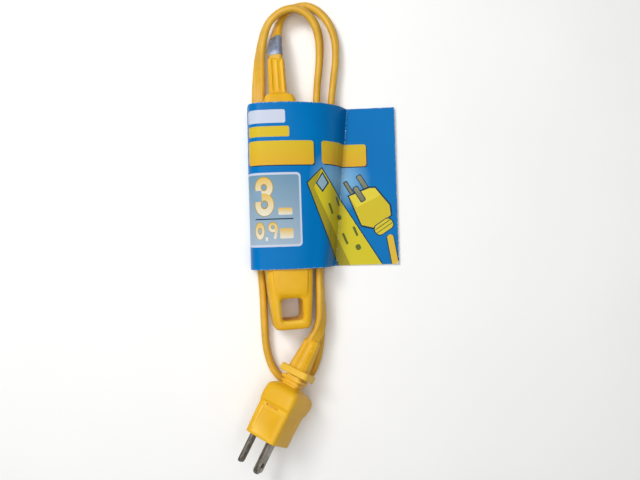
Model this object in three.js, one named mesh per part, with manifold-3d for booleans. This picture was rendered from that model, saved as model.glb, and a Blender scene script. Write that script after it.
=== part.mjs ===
// Flat three-core extension cord, folded and held in a card sleeve: three-outlet bar, cord and grounded plug.
// Millimetres, +Z up. The bar lies along Y with its handle end toward -Y and its outlets facing up.
import * as THREE from "three";
import { mergeVertices } from "three/addons/utils/BufferGeometryUtils.js";
import Module from "manifold-3d";

const wasm = await Module();
wasm.setup();

// ---- Driving dimensions ----
const ORIGIN = [2.22, 27.52]; // the middle of bar and sleeve in the layout that the places below are given in
const GAP = 0.3; // clearance between touching pieces

const CORD = { width: 8.2, thickness: 4.2 };
const WIRE = { diameter: 2.1, apart: 0.4 };
const CORD_STEP = 8; // length of one straight piece of the cord's solid
const LABEL = { length: 12.6, wall: 0.35, gap: 1, from: 0.5 };

const BAR = { length: 137, handleWidth: 21.6, width: 31, endWidth: 15.6, thickness: 22.4, radius: 3.4 };
const BAR_PLACE = { x: -16.6, y: -51.8, z: 14.9, roll: 10, yaw: 3.44 };
const FACE = { rise: 1.2, from: 22, to: 121, inset: 3.2 };
const HANG_HOLE = { width: 12.6, length: 12.8, wall: 5.2, radius: 2, bevel: 1.6 };
const BAR_RELIEF = { length: 22, baseWidth: 10.4, baseDepth: 8.4 };
const RELIEF_WALL = 0.7; // what a relief adds round the cord at its tip

const OUTLETS = { count: 3, first: 40, pitch: 28, slotSpacing: 12.7, groundOffset: 11.9 };
const SLOT = { width: 2.4, lineLength: 6.8, neutralLength: 8.2 };
const GROUND_HOLE = { width: 5.4, length: 6 };

const CARRIER = { width: 22.4, bottom: -9.4, depth: 14.8, floor: 1.2, channel: 5, margin: 13, end: 8 };
const COVER_DEPTH = 1.8;
const CONTACT = { strip: 0.8, width: 4, leaf: 0.7, length: 7 };
const GROUND_CONTACT_WIDTH = 4.4;
const BAR_ROOM = { length: 10, side: 2.2, bottom: -8.8, top: 3 }; // where the wires leave the contact bars
const BAR_DUCT = { side: 5.5, bottom: -5, top: 2.4, wall: 3 }; // where they close up toward the relief

const BLADE = { thickness: 1.5, lineWidth: 6.35, neutralWidth: 7.9, length: 17, tail: 13, hole: 3 };
const PIN = { diameter: 4.75, length: 20.6 };
const BLADE_RISE = 3.5; // the blades' middle above the plug's axis
const PLUG = { faceWidth: 20, front: 9.5, back: 13, body: 33, bulge: 18.4, radius: 2.4 };
const PLUG_PLACE = { x: -3.92, y: -59.29, z: 15.18, pitch: -10, roll: -28, yaw: -26.5 }; // its cord end
const NECK = { reach: 6, width: 10.6, depth: 9.6 };
const PLUG_ROOM = { side: 0.8, wall: 7, bottom: -11.2 }; // where the wires leave the blades
const PLUG_DUCT = { side: 3.9, length: 6.6, bottom: -6.4, top: 3 };
const BRIDGE = { width: 16, depth: 19.6, length: 9.5 };
const FLANGE = { width: 19, depth: 15, thickness: 4.3 };
const PLUG_RELIEF = { length: 23, baseWidth: 12.4, baseDepth: 9.6 };

const SLEEVE = { height: 95.5, wall: 0.6, right: 46.7, y: 31.7, yaw: 1.9 };
const SLEEVE_BOTTOM = { left: -42.4, crease: 7.2, shoulder: 20 };
const SLEEVE_TOP = { left: -41.6, crease: 17.2, shoulder: 12.6 };
const SLEEVE_RISE = 28.7;

// The cord's route from the bar's relief to the plug's relief: x, y, z, and how far its width is turned from
// standing on edge, in degrees. It runs out in one long arch, down through the sleeve, round a loop under
// the plug, up through the sleeve lying flat beside the bar, over in a second arch and down to the plug.
// The arches are given from the tip of the bar's relief, the end from the tip of the plug's relief.
const ROUTE = {
  outerArch: [
    [-0.04, 0.69, 0, 100],
    [-0.29, 5.19, -0.7, 110],
    [-0.34, 11.39, -3.5, 128],
    [0.36, 19.19, -7.5, 153],
    [2.36, 25.99, -10, 164],
    [6.76, 31.49, -10.6, 162],
    [13.16, 34.39, -10.6, 160],
    [20.16, 34.19, -10.6, 160],
    [26.76, 29.99, -10.6, 160],
    [32.06, 22.79, -10.6, 161],
    [35.06, 13.79, -10.5, 168],
    [35.46, 1.79, -10.2, 180],
  ],
  lowerLoop: [
    [7.6, 92, 5.1, 180],
    [5, 62, 5.1, 180],
    [2.2, 20, 5.1, 180],
    [0.5, -17, 5.1, 180],
    [0.9, -38, 5.1, 180],
    [0.9, -57, 5.1, 180],
    [-1.4, -72, 4.7, 180],
    [-6, -81.8, 4.3, 180],
    [-13.6, -86.6, 4.3, 180],
    [-21.8, -84.6, 4.3, 180],
    [-28.4, -77.4, 4.3, 180],
    [-32.2, -65.5, 4.8, 180],
    [-33.6, -50, 5.1, 180],
    [-34.4, -33, 5.1, 180],
    [-35.8, -17, 5.1, 176],
    [-36.2, -3, 4.7, 132],
    [-36.3, 12, 3.1, 92],
    [-36.6, 48, 3.1, 90],
    [-37.4, 80, 3.2, 90],
  ],
  innerArch: [
    [-10.94, -11.21, -10.4, 112],
    [-9.74, 4.79, -7.1, 150],
    [-5.74, 19.19, -3.3, 160],
    [1.16, 26.99, -1.7, 158],
    [9.76, 30.09, -1.5, 157],
    [16.76, 27.99, -2.3, 157],
    [22.36, 22.79, -4.3, 158],
    [25.46, 13.79, -6.7, 164],
    [25.76, 0.79, -8.6, 174],
    [24.26, -17.21, -8.7, 180],
    [23.96, -37.21, -6.1, 180],
  ],
  overBar: [
    [-1.2, 42, 13.6, 180],
    [-0.6, 10, 13.8, 180],
    [-0.3, -17, 13.8, 172],
  ],
  toPlug: [
    [4.32, 25.29, -1.18, 162],
    [4.62, 13.29, -0.98, 146],
    [2.72, 5.09, -0.68, 122],
    [0.13, 0.26, -0.05, 114],
  ],
};

// ---- Materials ----
const finish = (color, roughness, metalness = 0) =>
  new THREE.MeshStandardMaterial({ color, roughness, metalness });
const YELLOW = finish("#f2bd2f", 0.45);
const CORD_YELLOW = finish("#e3ae3a", 0.5);
const NYLON = finish("#d8d2c4", 0.6);
const BRASS = finish("#c9a24a", 0.35, 1);
const NICKEL = finish("#9a948b", 0.3, 1);
const FOIL = finish("#8a93a5", 0.3, 0.6);
const CARD = finish("#1279bd", 0.4);
const WIRE_COLOURS = {
  line: finish("#26262a", 0.5),
  neutral: finish("#e8e6e0", 0.5),
  ground: finish("#2f8a4a", 0.5),
};

// ---- Solids ----
function solid(geometry) {
  const bare = geometry.clone();
  bare.deleteAttribute("normal");
  bare.deleteAttribute("uv");
  const merged = mergeVertices(bare, 1e-4);
  return new wasm.Manifold(
    new wasm.Mesh({
      numProp: 3,
      vertProperties: merged.attributes.position.array,
      triVerts: new Uint32Array(merged.index.array),
    }),
  );
}

function geometryOf(body) {
  const mesh = body.getMesh();
  const geometry = new THREE.BufferGeometry();
  geometry.setAttribute("position", new THREE.BufferAttribute(mesh.vertProperties, 3));
  geometry.setIndex(new THREE.BufferAttribute(mesh.triVerts, 1));
  const flat = geometry.toNonIndexed();
  flat.computeVertexNormals();
  return flat;
}

// A box between two corners.
function block(x0, x1, y0, y1, z0, z1) {
  const box = new THREE.BoxGeometry(x1 - x0, y1 - y0, z1 - z0);
  return solid(box.translate((x0 + x1) / 2, (y0 + y1) / 2, (z0 + z1) / 2));
}

// A box centred on x = middle, of a given width.
const centred = (middle, width, ...rest) => block(middle - width / 2, middle + width / 2, ...rest);

// A ring of points in the plane y, round a rectangle with rounded corners, anticlockwise seen along +Y.
function ring(y, left, right, bottom, top, radius, steps = 2) {
  const corners = [
    [right - radius, bottom + radius, -90],
    [right - radius, top - radius, 0],
    [left + radius, top - radius, 90],
    [left + radius, bottom + radius, 180],
  ];
  return corners.flatMap(([x, z, start]) =>
    Array.from({ length: steps + 1 }, (_, i) => {
      const angle = THREE.MathUtils.degToRad(start + (90 * i) / steps);
      return new THREE.Vector3(x + radius * Math.cos(angle), y, z + radius * Math.sin(angle));
    }),
  );
}

// A closed body through rings of equal length, from the lowest y to the highest.
function loft(rings) {
  const count = rings[0].length;
  const index = [];
  for (let r = 0; r + 1 < rings.length; r++) {
    for (let i = 0; i < count; i++) {
      const a = r * count + i;
      const b = r * count + ((i + 1) % count);
      index.push(a, b + count, b, a, a + count, b + count);
    }
  }
  const last = (rings.length - 1) * count;
  const flat = (points) => points.map((p) => new THREE.Vector2(p.x, p.z));
  for (const [a, b, c] of THREE.ShapeUtils.triangulateShape(flat(rings[0]), [])) {
    index.push(a, b, c);
  }
  for (const [a, b, c] of THREE.ShapeUtils.triangulateShape(flat(rings.at(-1)), [])) {
    index.push(last + a, last + c, last + b);
  }
  return new THREE.BufferGeometry().setFromPoints(rings.flat()).setIndex(index);
}

// A loft centred on x = 0 through stations of y, half width, lowest z, highest z and corner radius.
const stack = (stations) =>
  solid(loft(stations.map(([y, half, low, high, radius]) => ring(y, -half, half, low, high, radius))));

// A rounded rectangular prism standing along Z over (x, y), wider all round by flare at its top.
function post(x, y, width, length, radius, z0, z1, flare = 0) {
  const rings = [
    [z0, 0],
    [z1, flare],
  ].map(([z, grow]) =>
    ring(z, -width / 2 - grow, width / 2 + grow, -length / 2 - grow, length / 2 + grow, radius + grow, 3),
  );
  return solid(loft(rings).rotateX(Math.PI / 2).translate(x, y, 0));
}

// A round rod along Y.
const rod = (x, z, diameter, y0, y1, sides = 16) =>
  solid(
    new THREE.CylinderGeometry(diameter / 2, diameter / 2, y1 - y0, sides).translate(x, (y0 + y1) / 2, z),
  );

// ---- Cords and wires ----
// A curve whose frames keep a flat section at a stated turn from standing on edge.
class FlatRoute extends THREE.CatmullRomCurve3 {
  constructor(points, turns) {
    super(points);
    this.turns = turns;
  }
  widthAt(u) {
    const place = this.getUtoTmapping(u) * (this.turns.length - 1);
    const i = Math.min(Math.floor(place), this.turns.length - 2);
    const turn = THREE.MathUtils.degToRad(THREE.MathUtils.lerp(this.turns[i], this.turns[i + 1], place - i));
    const tangent = this.getTangentAt(u);
    const side = tangent.clone().cross(new THREE.Vector3(0, 0, 1)).normalize();
    const rise = side.clone().cross(tangent);
    return rise.multiplyScalar(Math.cos(turn)).addScaledVector(side, Math.sin(turn));
  }
}

// The part of a route between two shares of its length.
class Stretch extends THREE.Curve {
  constructor(route, from, to) {
    super();
    Object.assign(this, { route, from, to });
  }
  share(t) {
    return THREE.MathUtils.lerp(this.from, this.to, t);
  }
  getPoint(t) {
    return this.route.getPointAt(this.share(t));
  }
  computeFrenetFrames(segments) {
    const shares = Array.from({ length: segments + 1 }, (_, i) => this.share(i / segments));
    const tangents = shares.map((u) => this.route.getTangentAt(u));
    const normals = shares.map((u) => this.route.widthAt(u));
    const binormals = tangents.map((tangent, i) => tangent.clone().cross(normals[i]));
    return { tangents, normals, binormals };
  }
}

// A flat cord's section, its width along x, with rounded edges.
function flatSection(width, thickness) {
  const r = thickness / 2;
  const shape = new THREE.Shape();
  shape.absarc(width / 2 - r, 0, r, -Math.PI / 2, Math.PI / 2, false);
  shape.absarc(r - width / 2, 0, r, Math.PI / 2, (3 * Math.PI) / 2, false);
  return shape;
}

function wire(points) {
  const path = new THREE.CatmullRomCurve3(points.map((p) => new THREE.Vector3(...p)));
  const section = new THREE.Shape().absarc(0, 0, WIRE.diameter / 2, 0, 2 * Math.PI, false);
  return solid(new THREE.ExtrudeGeometry(section, { steps: 14, curveSegments: 5, extrudePath: path }));
}

// ---- Assembly ----
const root = new THREE.Group();
root.position.set(-ORIGIN[0], -ORIGIN[1], 0);

function add(group, name, body, material) {
  const mesh = new THREE.Mesh(geometryOf(body), material);
  mesh.name = name;
  group.add(mesh);
}

function placed({ x, y, z, pitch = 0, roll = 0, yaw = 0 }) {
  const group = new THREE.Group();
  const radians = [pitch, roll, yaw].map(THREE.MathUtils.degToRad);
  group.position.set(x, y, z);
  group.rotation.set(...radians, "ZXY");
  root.add(group);
  return group;
}

const wirePitch = WIRE.diameter + WIRE.apart;
const wireSpread = 2 * wirePitch + WIRE.diameter;
const BORE = { width: wireSpread + 2 * GAP, depth: WIRE.diameter + 2 * GAP };

// A tapered relief from y0, bored for the three wires.
function relief(y0, { length, baseWidth, baseDepth }) {
  const tipWidth = CORD.width + 2 * RELIEF_WALL;
  const tipDepth = CORD.thickness + 2 * RELIEF_WALL;
  const body = stack([
    [y0, baseWidth / 2, -baseDepth / 2, baseDepth / 2, 2],
    [y0 + length, tipWidth / 2, -tipDepth / 2, tipDepth / 2, 2],
  ]);
  return body.subtract(centred(0, BORE.width, y0 - 1, y0 + length + 1, -BORE.depth / 2, BORE.depth / 2));
}

// ---- Outlet bar: y runs from the handle end to the cord, z out of the outlet face ----
const bar = placed(BAR_PLACE);
const barTop = BAR.thickness / 2 - FACE.rise;
const between = (low, high, share) => low + share * (high - low);
const barOutline = new THREE.SplineCurve(
  [
    [0, BAR.handleWidth - 1.8],
    [0.02, BAR.handleWidth],
    [0.16, between(BAR.handleWidth, BAR.width, 0.42)],
    [0.36, between(BAR.handleWidth, BAR.width, 0.76)],
    [0.66, BAR.width],
    [0.82, between(BAR.endWidth, BAR.width, 0.92)],
    [0.92, between(BAR.endWidth, BAR.width, 0.5)],
    [1, BAR.endWidth],
  ].map(([share, width]) => new THREE.Vector2(share * BAR.length, width / 2)),
).getPoints(21);

const outletPlaces = Array.from({ length: OUTLETS.count }, (_, i) => OUTLETS.first + i * OUTLETS.pitch);
const LINE_X = -OUTLETS.slotSpacing / 2;
const NEUTRAL_X = OUTLETS.slotSpacing / 2;
const carrierFrom = OUTLETS.first - CARRIER.margin;
const carrierTo = outletPlaces.at(-1) + OUTLETS.groundOffset + CARRIER.end;
const carrierTop = CARRIER.bottom + CARRIER.depth;
const coverTop = carrierTop + GAP + COVER_DEPTH;

// Cuts the three openings of every outlet, each wider all round by extra, between two heights.
function cutOutlets(body, extra, z0, z1) {
  const slot = (x, y, width, length) =>
    centred(x, width + 2 * extra, y - length / 2 - extra, y + length / 2 + extra, z0, z1);
  const holeWidth = GROUND_HOLE.width + 2 * extra;
  const holeLength = GROUND_HOLE.length + 2 * extra;
  return outletPlaces.reduce(
    (rest, y) =>
      rest
        .subtract(slot(LINE_X, y, SLOT.width, SLOT.lineLength))
        .subtract(slot(NEUTRAL_X, y, SLOT.width, SLOT.neutralLength))
        .subtract(post(0, y + OUTLETS.groundOffset, holeWidth, holeLength, 2.4, z0, z1)),
    body,
  );
}

function outletBody() {
  const hull = stack(
    barOutline.map(({ x: y, y: half }, i) => {
      const soften = i === 0 || i === barOutline.length - 1 ? 0.8 : 0;
      return [y, half, -BAR.thickness / 2 + soften, barTop - soften, BAR.radius];
    }),
  );
  const face = stack(
    barOutline
      .filter(({ x: y }) => y >= FACE.from && y <= FACE.to)
      .map(({ x: y, y: half }) => [y, half - FACE.inset, barTop - 2, BAR.thickness / 2, 0.8]),
  );
  const cavity = centred(
    0,
    CARRIER.width + 2 * GAP,
    carrierFrom - GAP,
    carrierTo + GAP,
    CARRIER.bottom - GAP,
    coverTop + GAP,
  );
  const holeY = HANG_HOLE.wall + HANG_HOLE.length / 2;
  const { width, length, radius, bevel } = HANG_HOLE;
  const hole = post(0, holeY, width, length, radius, -BAR.thickness, BAR.thickness);
  const roomWidth = OUTLETS.slotSpacing + WIRE.diameter + BAR_ROOM.side;
  const roomTo = carrierTo + BAR_ROOM.length;
  const ductWidth = wireSpread + BAR_DUCT.side;
  const lip = post(0, holeY, width, length, radius, barTop - bevel, barTop + bevel, 2 * bevel);
  const body = hull
    .add(face)
    .subtract(cavity)
    .subtract(centred(0, roomWidth, carrierTo, roomTo, BAR_ROOM.bottom, BAR_ROOM.top))
    .subtract(centred(0, ductWidth, roomTo - 1, BAR.length - BAR_DUCT.wall, BAR_DUCT.bottom, BAR_DUCT.top))
    .subtract(centred(0, BORE.width, BAR.length - 4, BAR.length + 1, -BORE.depth / 2, BORE.depth / 2))
    .subtract(hole)
    .subtract(lip);
  return cutOutlets(body, 0, coverTop, BAR.thickness);
}

// The channels' floor, and the run of the contact bars along them.
const channelFloor = CARRIER.bottom + CARRIER.floor;
const contactFrom = carrierFrom + 1.5;
const contactTo = carrierTo - 4;
const contactMiddles = [LINE_X, 0, NEUTRAL_X];

function contactCarrier() {
  const bodyBlock = centred(0, CARRIER.width, carrierFrom, carrierTo, CARRIER.bottom, carrierTop);
  const channelFrom = carrierFrom + CARRIER.floor;
  return contactMiddles.reduce(
    (rest, x) =>
      rest.subtract(centred(x, CARRIER.channel, channelFrom, carrierTo + 1, channelFloor, carrierTop + 1)),
    bodyBlock,
  );
}

// A strip along its channel with a pair of spring leaves standing at each place.
function contactBar(x, places, width) {
  const z0 = channelFloor + GAP;
  const leaf = (side, y) =>
    centred(
      x + (side * (width - CONTACT.leaf)) / 2,
      CONTACT.leaf,
      y - CONTACT.length / 2,
      y + CONTACT.length / 2,
      z0,
      carrierTop - 1,
    );
  return places.reduce(
    (rest, y) => rest.add(leaf(-1, y)).add(leaf(1, y)),
    centred(x, width, contactFrom, contactTo, z0, z0 + CONTACT.strip),
  );
}

const barReliefFrom = BAR.length + GAP;
const reliefTip = barReliefFrom + BAR_RELIEF.length - GAP;

// A wire from the cord's end in the relief to the end of its contact bar.
const outletWire = (inCord, inBar) =>
  wire([
    [inCord, reliefTip, 0],
    [inCord, BAR.length - 2, 0],
    [between(inCord, inBar, 0.45), carrierTo + 11, -1.8],
    [between(inCord, inBar, 0.95), carrierTo + 3, -5.4],
    [inBar, contactTo + GAP, -6.4],
  ]);

const CORE_X = { line: -wirePitch, ground: 0, neutral: wirePitch };
const groundPlaces = outletPlaces.map((y) => y + OUTLETS.groundOffset);

add(bar, "outlet_body", outletBody(), YELLOW);
add(bar, "outlet_strain_relief", relief(barReliefFrom, BAR_RELIEF), YELLOW);
add(bar, "contact_carrier", contactCarrier(), NYLON);
const cover = centred(0, CARRIER.width, carrierFrom, carrierTo, carrierTop + GAP, coverTop);
add(bar, "carrier_cover", cutOutlets(cover, 0.2, carrierTop - 1, coverTop + 1), NYLON);
add(bar, "line_contact_bar", contactBar(LINE_X, outletPlaces, CONTACT.width), BRASS);
add(bar, "neutral_contact_bar", contactBar(NEUTRAL_X, outletPlaces, CONTACT.width), BRASS);
add(bar, "ground_contact_bar", contactBar(0, groundPlaces, GROUND_CONTACT_WIDTH), BRASS);
add(bar, "outlet_line_wire", outletWire(CORE_X.line, LINE_X), WIRE_COLOURS.line);
add(bar, "outlet_neutral_wire", outletWire(CORE_X.neutral, NEUTRAL_X), WIRE_COLOURS.neutral);
add(bar, "outlet_ground_wire", outletWire(CORE_X.ground, 0), WIRE_COLOURS.ground);

// ---- Plug: y runs from the blade face to the cord, z out of the broad side facing up ----
const neckEnd = PLUG.body + NECK.reach;
const plugReliefFrom = neckEnd + GAP;
const plugLength = plugReliefFrom + PLUG_RELIEF.length;
const plug = placed(PLUG_PLACE);
plug.translateY(-plugLength);
const pinZ = BLADE_RISE - OUTLETS.groundOffset;
const bridgeTop = BLADE_RISE + BLADE.neutralWidth / 2 + 0.8;
const bridgeBottom = bridgeTop - BRIDGE.depth;

function plugBody() {
  const { front, back, bulge, radius, body } = PLUG;
  const half = PLUG.faceWidth / 2;
  const roomWidth = OUTLETS.slotSpacing + WIRE.diameter + PLUG_ROOM.side;
  const roomTo = body - PLUG_ROOM.wall;
  const ductTo = roomTo - 1 + PLUG_DUCT.length;
  const shell = stack([
    [0, half - 0.6, 0.6 - back, front - 0.6, radius],
    [0.8, half, -back, front, radius],
    [body * 0.36, half + 0.2, -back, front, radius],
    [body * 0.5, half + 0.3, -back - 0.5, front, radius],
    [body * 0.53, half + 0.6, -back - 1.2, front + 1, radius],
    [body * 0.73, half + 0.7, -bulge + 0.8, front + 1.1, radius],
    [body * 0.82, half + 0.5, -bulge, front + 0.9, radius],
    [body * 0.88, half - 0.2, -bulge + 1.9, front, radius],
    [body * 0.95, half - 2.4, 3.2 - back, front - 2.2, radius],
    [body, NECK.width / 2 + 0.5, -NECK.depth / 2 - 0.8, NECK.depth / 2 + 0.6, radius],
  ]);
  const collar = (from, to, grow) => [
    [from, NECK.width / 2 + grow, -NECK.depth / 2 - grow, NECK.depth / 2 + grow, radius],
    [to, NECK.width / 2 + grow, -NECK.depth / 2 - grow, NECK.depth / 2 + grow, radius],
  ];
  return shell
    .add(stack(collar(body - 0.5, neckEnd, 0)))
    .add(stack(collar(body + 1, body + 2.2, 0.7)))
    .add(stack(collar(body + 3.2, body + 5.2, 1.4)))
    .subtract(
      centred(0, BRIDGE.width + 2 * GAP, -1, BRIDGE.length + GAP, bridgeBottom - GAP, bridgeTop + GAP),
    )
    .subtract(centred(0, roomWidth, BRIDGE.length, roomTo, PLUG_ROOM.bottom, bridgeTop))
    .subtract(centred(0, wireSpread + PLUG_DUCT.side, roomTo - 1, ductTo, PLUG_DUCT.bottom, PLUG_DUCT.top))
    .subtract(centred(0, BORE.width, ductTo - 2, neckEnd + 1, -BORE.depth / 2, BORE.depth / 2));
}

// A flat blade with a hole near its rounded-off tip.
function blade(x, width) {
  const outline = new THREE.Shape();
  const nose = 1.8;
  const half = width / 2;
  outline.moveTo(-half, BLADE.tail);
  outline.lineTo(-half, nose - BLADE.length);
  outline.quadraticCurveTo(-half, -BLADE.length, nose - half, -BLADE.length);
  outline.lineTo(half - nose, -BLADE.length);
  outline.quadraticCurveTo(half, -BLADE.length, half, nose - BLADE.length);
  outline.lineTo(half, BLADE.tail);
  const hole = new THREE.Path().absarc(0, 4.2 - BLADE.length, BLADE.hole / 2, 0, 2 * Math.PI, true);
  outline.holes.push(hole);
  const settings = { depth: BLADE.thickness, bevelEnabled: false, curveSegments: 6 };
  const geometry = new THREE.ExtrudeGeometry(outline, settings);
  geometry.translate(0, 0, -BLADE.thickness / 2).rotateY(Math.PI / 2);
  return solid(geometry.translate(x, 0, BLADE_RISE));
}

function groundPin() {
  const r = PIN.diameter / 2;
  const profile = [
    [0, -PIN.length],
    [r * 0.55, -PIN.length + 0.3],
    [r * 0.9, -PIN.length + 1.4],
    [r, -PIN.length + 2.6],
    [r, BLADE.tail],
    [0, BLADE.tail],
  ].map(([x, y]) => new THREE.Vector2(x, y));
  return solid(new THREE.LatheGeometry(profile, 20).translate(0, 0, pinZ));
}

function plugBridge() {
  const block = centred(0, BRIDGE.width, 0, BRIDGE.length, bridgeBottom, bridgeTop);
  const slot = (x, width) =>
    centred(
      x, BLADE.thickness + 2 * GAP, -1, BRIDGE.length + 1,
      BLADE_RISE - width / 2 - GAP, BLADE_RISE + width / 2 + GAP,
    );
  return block
    .subtract(slot(LINE_X, BLADE.lineWidth))
    .subtract(slot(NEUTRAL_X, BLADE.neutralWidth))
    .subtract(rod(0, pinZ, PIN.diameter + 2 * GAP, -1, BRIDGE.length + 1));
}

function plugRelief() {
  const { width, depth, thickness } = FLANGE;
  const flange = stack([
    [plugReliefFrom, width / 2, -depth / 2, depth / 2, 3],
    [plugReliefFrom + thickness, width / 2, -depth / 2, depth / 2, 3],
  ]);
  const bore = centred(
    0, BORE.width, plugReliefFrom - 1, plugReliefFrom + thickness + 1, -BORE.depth / 2, BORE.depth / 2,
  );
  return flange.subtract(bore).add(relief(plugReliefFrom, PLUG_RELIEF));
}

// A wire from the cord's end in the relief to the tail of its blade.
const plugWire = (inCord, x, z) =>
  wire([
    [inCord, plugLength - GAP, 0],
    [inCord, neckEnd, 0],
    [inCord, PLUG.body - 1, 0],
    [between(inCord, x, 0.3), PLUG.body - 6, z * 0.25],
    [between(inCord, x, 0.85), BLADE.tail + 6, z * 0.8],
    [x, BLADE.tail + GAP, z],
  ]);

add(plug, "plug_body", plugBody(), YELLOW);
add(plug, "plug_strain_relief", plugRelief(), YELLOW);
add(plug, "blade_bridge", plugBridge(), YELLOW);
add(plug, "line_blade", blade(LINE_X, BLADE.lineWidth), NICKEL);
add(plug, "neutral_blade", blade(NEUTRAL_X, BLADE.neutralWidth), NICKEL);
add(plug, "ground_pin", groundPin(), NICKEL);
add(plug, "plug_line_wire", plugWire(CORE_X.line, LINE_X, BLADE_RISE), WIRE_COLOURS.line);
add(plug, "plug_neutral_wire", plugWire(CORE_X.neutral, NEUTRAL_X, BLADE_RISE), WIRE_COLOURS.neutral);
add(plug, "plug_ground_wire", plugWire(CORE_X.ground, 0, pinZ), WIRE_COLOURS.ground);

// ---- Cord and its marking band ----
const tipOf = (group, y) => {
  group.updateMatrix();
  return new THREE.Vector3(0, y, 0).applyMatrix4(group.matrix);
};
const barTip = tipOf(bar, barReliefFrom + BAR_RELIEF.length);
const plugTip = tipOf(plug, plugLength);
const layout = new THREE.Vector3();
const anchors = { outerArch: barTip, lowerLoop: layout, innerArch: barTip, overBar: layout, toPlug: plugTip };
const routePoints = Object.entries(ROUTE).flatMap(([part, points]) =>
  points.map(([x, y, z]) => new THREE.Vector3(x, y, z).add(anchors[part])),
);
const route = new FlatRoute(routePoints, Object.values(ROUTE).flat().map((point) => point[3]));
route.arcLengthDivisions = 1200;
const cordLength = route.getLength();
const cord = new THREE.ExtrudeGeometry(flatSection(CORD.width, CORD.thickness), {
  steps: Math.round(cordLength / CORD_STEP),
  curveSegments: 4,
  extrudePath: new Stretch(route, 0, 1),
});
add(root, "power_cord", solid(cord), CORD_YELLOW);

const roundCord = (gap) => flatSection(CORD.width + 2 * gap, CORD.thickness + 2 * gap);
const bandSection = roundCord(LABEL.gap + LABEL.wall);
bandSection.holes.push(new THREE.Path(roundCord(LABEL.gap).getPoints(4).reverse()));
const band = new THREE.ExtrudeGeometry(bandSection, {
  steps: 6,
  curveSegments: 4,
  extrudePath: new Stretch(route, LABEL.from / cordLength, (LABEL.from + LABEL.length) / cordLength),
});
add(root, "cord_label", solid(band), FOIL);

// ---- Card sleeve: y up the sleeve from its middle, x toward the flap ----
const sleeve = placed({ x: 0, y: SLEEVE.y, z: 0, yaw: SLEEVE.yaw });

// The inside of the sleeve's tube at a share of its height from the bottom, anticlockwise seen along +Y.
function tubeInside(share) {
  const left = between(SLEEVE_BOTTOM.left, SLEEVE_TOP.left, share);
  const crease = between(SLEEVE_BOTTOM.crease, SLEEVE_TOP.crease, share);
  const shoulder = between(SLEEVE_BOTTOM.shoulder, SLEEVE_TOP.shoulder, share);
  const across = (u) => between(left, crease, u);
  return new THREE.SplineCurve(
    [
      [across(1), SLEEVE.wall],
      [across(0.9), shoulder],
      [across(0.72), between(shoulder, SLEEVE_RISE, 0.62)],
      [across(0.45), SLEEVE_RISE - 0.8],
      [across(0.2), SLEEVE_RISE],
      [across(0.08), SLEEVE_RISE - 1.8],
      [across(0.015), SLEEVE_RISE - 8],
      [across(0), SLEEVE.wall + 4],
      [across(0), SLEEVE.wall],
    ].map(([x, z]) => new THREE.Vector2(x, z)),
  ).getPoints(32);
}

// The same outline moved outward by a distance.
function grown(points, distance) {
  return points.map((point, i) => {
    const before = points.at(i - 1);
    const after = points[(i + 1) % points.length];
    const a = point.clone().sub(before).normalize();
    const b = after.clone().sub(point).normalize();
    const normal = new THREE.Vector2(a.y + b.y, -a.x - b.x);
    const reach = distance / Math.max(normal.length() / 2, 0.5);
    return point.clone().addScaledVector(normal.normalize(), reach);
  });
}

function cardSleeve() {
  const shares = (from, to) => [0, 1, 2, 3, 4].map((i) => between(from, to, i / 4));
  const at = (share) => (share - 0.5) * SLEEVE.height;
  const rings = (list, grow) =>
    list.map((share) =>
      grown(tubeInside(share), grow).map((p) => new THREE.Vector3(p.x, at(share), p.y)),
    );
  const tube = solid(loft(rings(shares(0, 1), SLEEVE.wall)));
  const inside = solid(loft(rings(shares(-0.02, 1.02), 0)));
  const flap = solid(
    loft(
      [0, 1].map((share) => {
        const crease = between(SLEEVE_BOTTOM.crease, SLEEVE_TOP.crease, share);
        return ring(at(share), crease - 1, SLEEVE.right, 0, 2 * SLEEVE.wall, 0.2, 1);
      }),
    ),
  );
  return tube.add(flap).subtract(inside);
}
add(sleeve, "card_sleeve", cardSleeve(), CARD);

export default root;
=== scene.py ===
"""A folded flat extension cord in its card sleeve: the finished surfaces, built round its fixed frame."""

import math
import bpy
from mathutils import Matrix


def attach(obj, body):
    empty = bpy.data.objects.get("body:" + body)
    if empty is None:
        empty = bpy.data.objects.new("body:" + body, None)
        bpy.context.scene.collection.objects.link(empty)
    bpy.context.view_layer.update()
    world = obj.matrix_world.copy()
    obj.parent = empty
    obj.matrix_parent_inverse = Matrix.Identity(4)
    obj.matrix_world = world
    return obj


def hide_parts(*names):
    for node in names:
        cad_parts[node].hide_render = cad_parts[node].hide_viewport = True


bl_info = {
    "name": "Folded extension cord",
    "version": (1, 0, 0),
    "blender": (4, 5, 0),
    "location": "3D View > Sidebar > Cord",
    "description": "Builds a folded extension cord: outlet bar, flat cord, grounded plug and card sleeve",
    "category": "Add Mesh",
}

import bmesh
import bpy
from mathutils import Matrix, Vector

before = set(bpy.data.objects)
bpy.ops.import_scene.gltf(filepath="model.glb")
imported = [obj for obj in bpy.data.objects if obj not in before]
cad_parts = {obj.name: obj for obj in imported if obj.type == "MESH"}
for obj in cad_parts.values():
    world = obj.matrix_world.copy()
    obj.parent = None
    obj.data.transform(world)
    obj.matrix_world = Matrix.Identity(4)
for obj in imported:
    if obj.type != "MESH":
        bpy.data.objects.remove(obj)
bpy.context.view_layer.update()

MM = 0.001
ORIGIN = Vector((2.22, 27.52, 0))  # the frame's origin in the layout that the places below are given in

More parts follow.
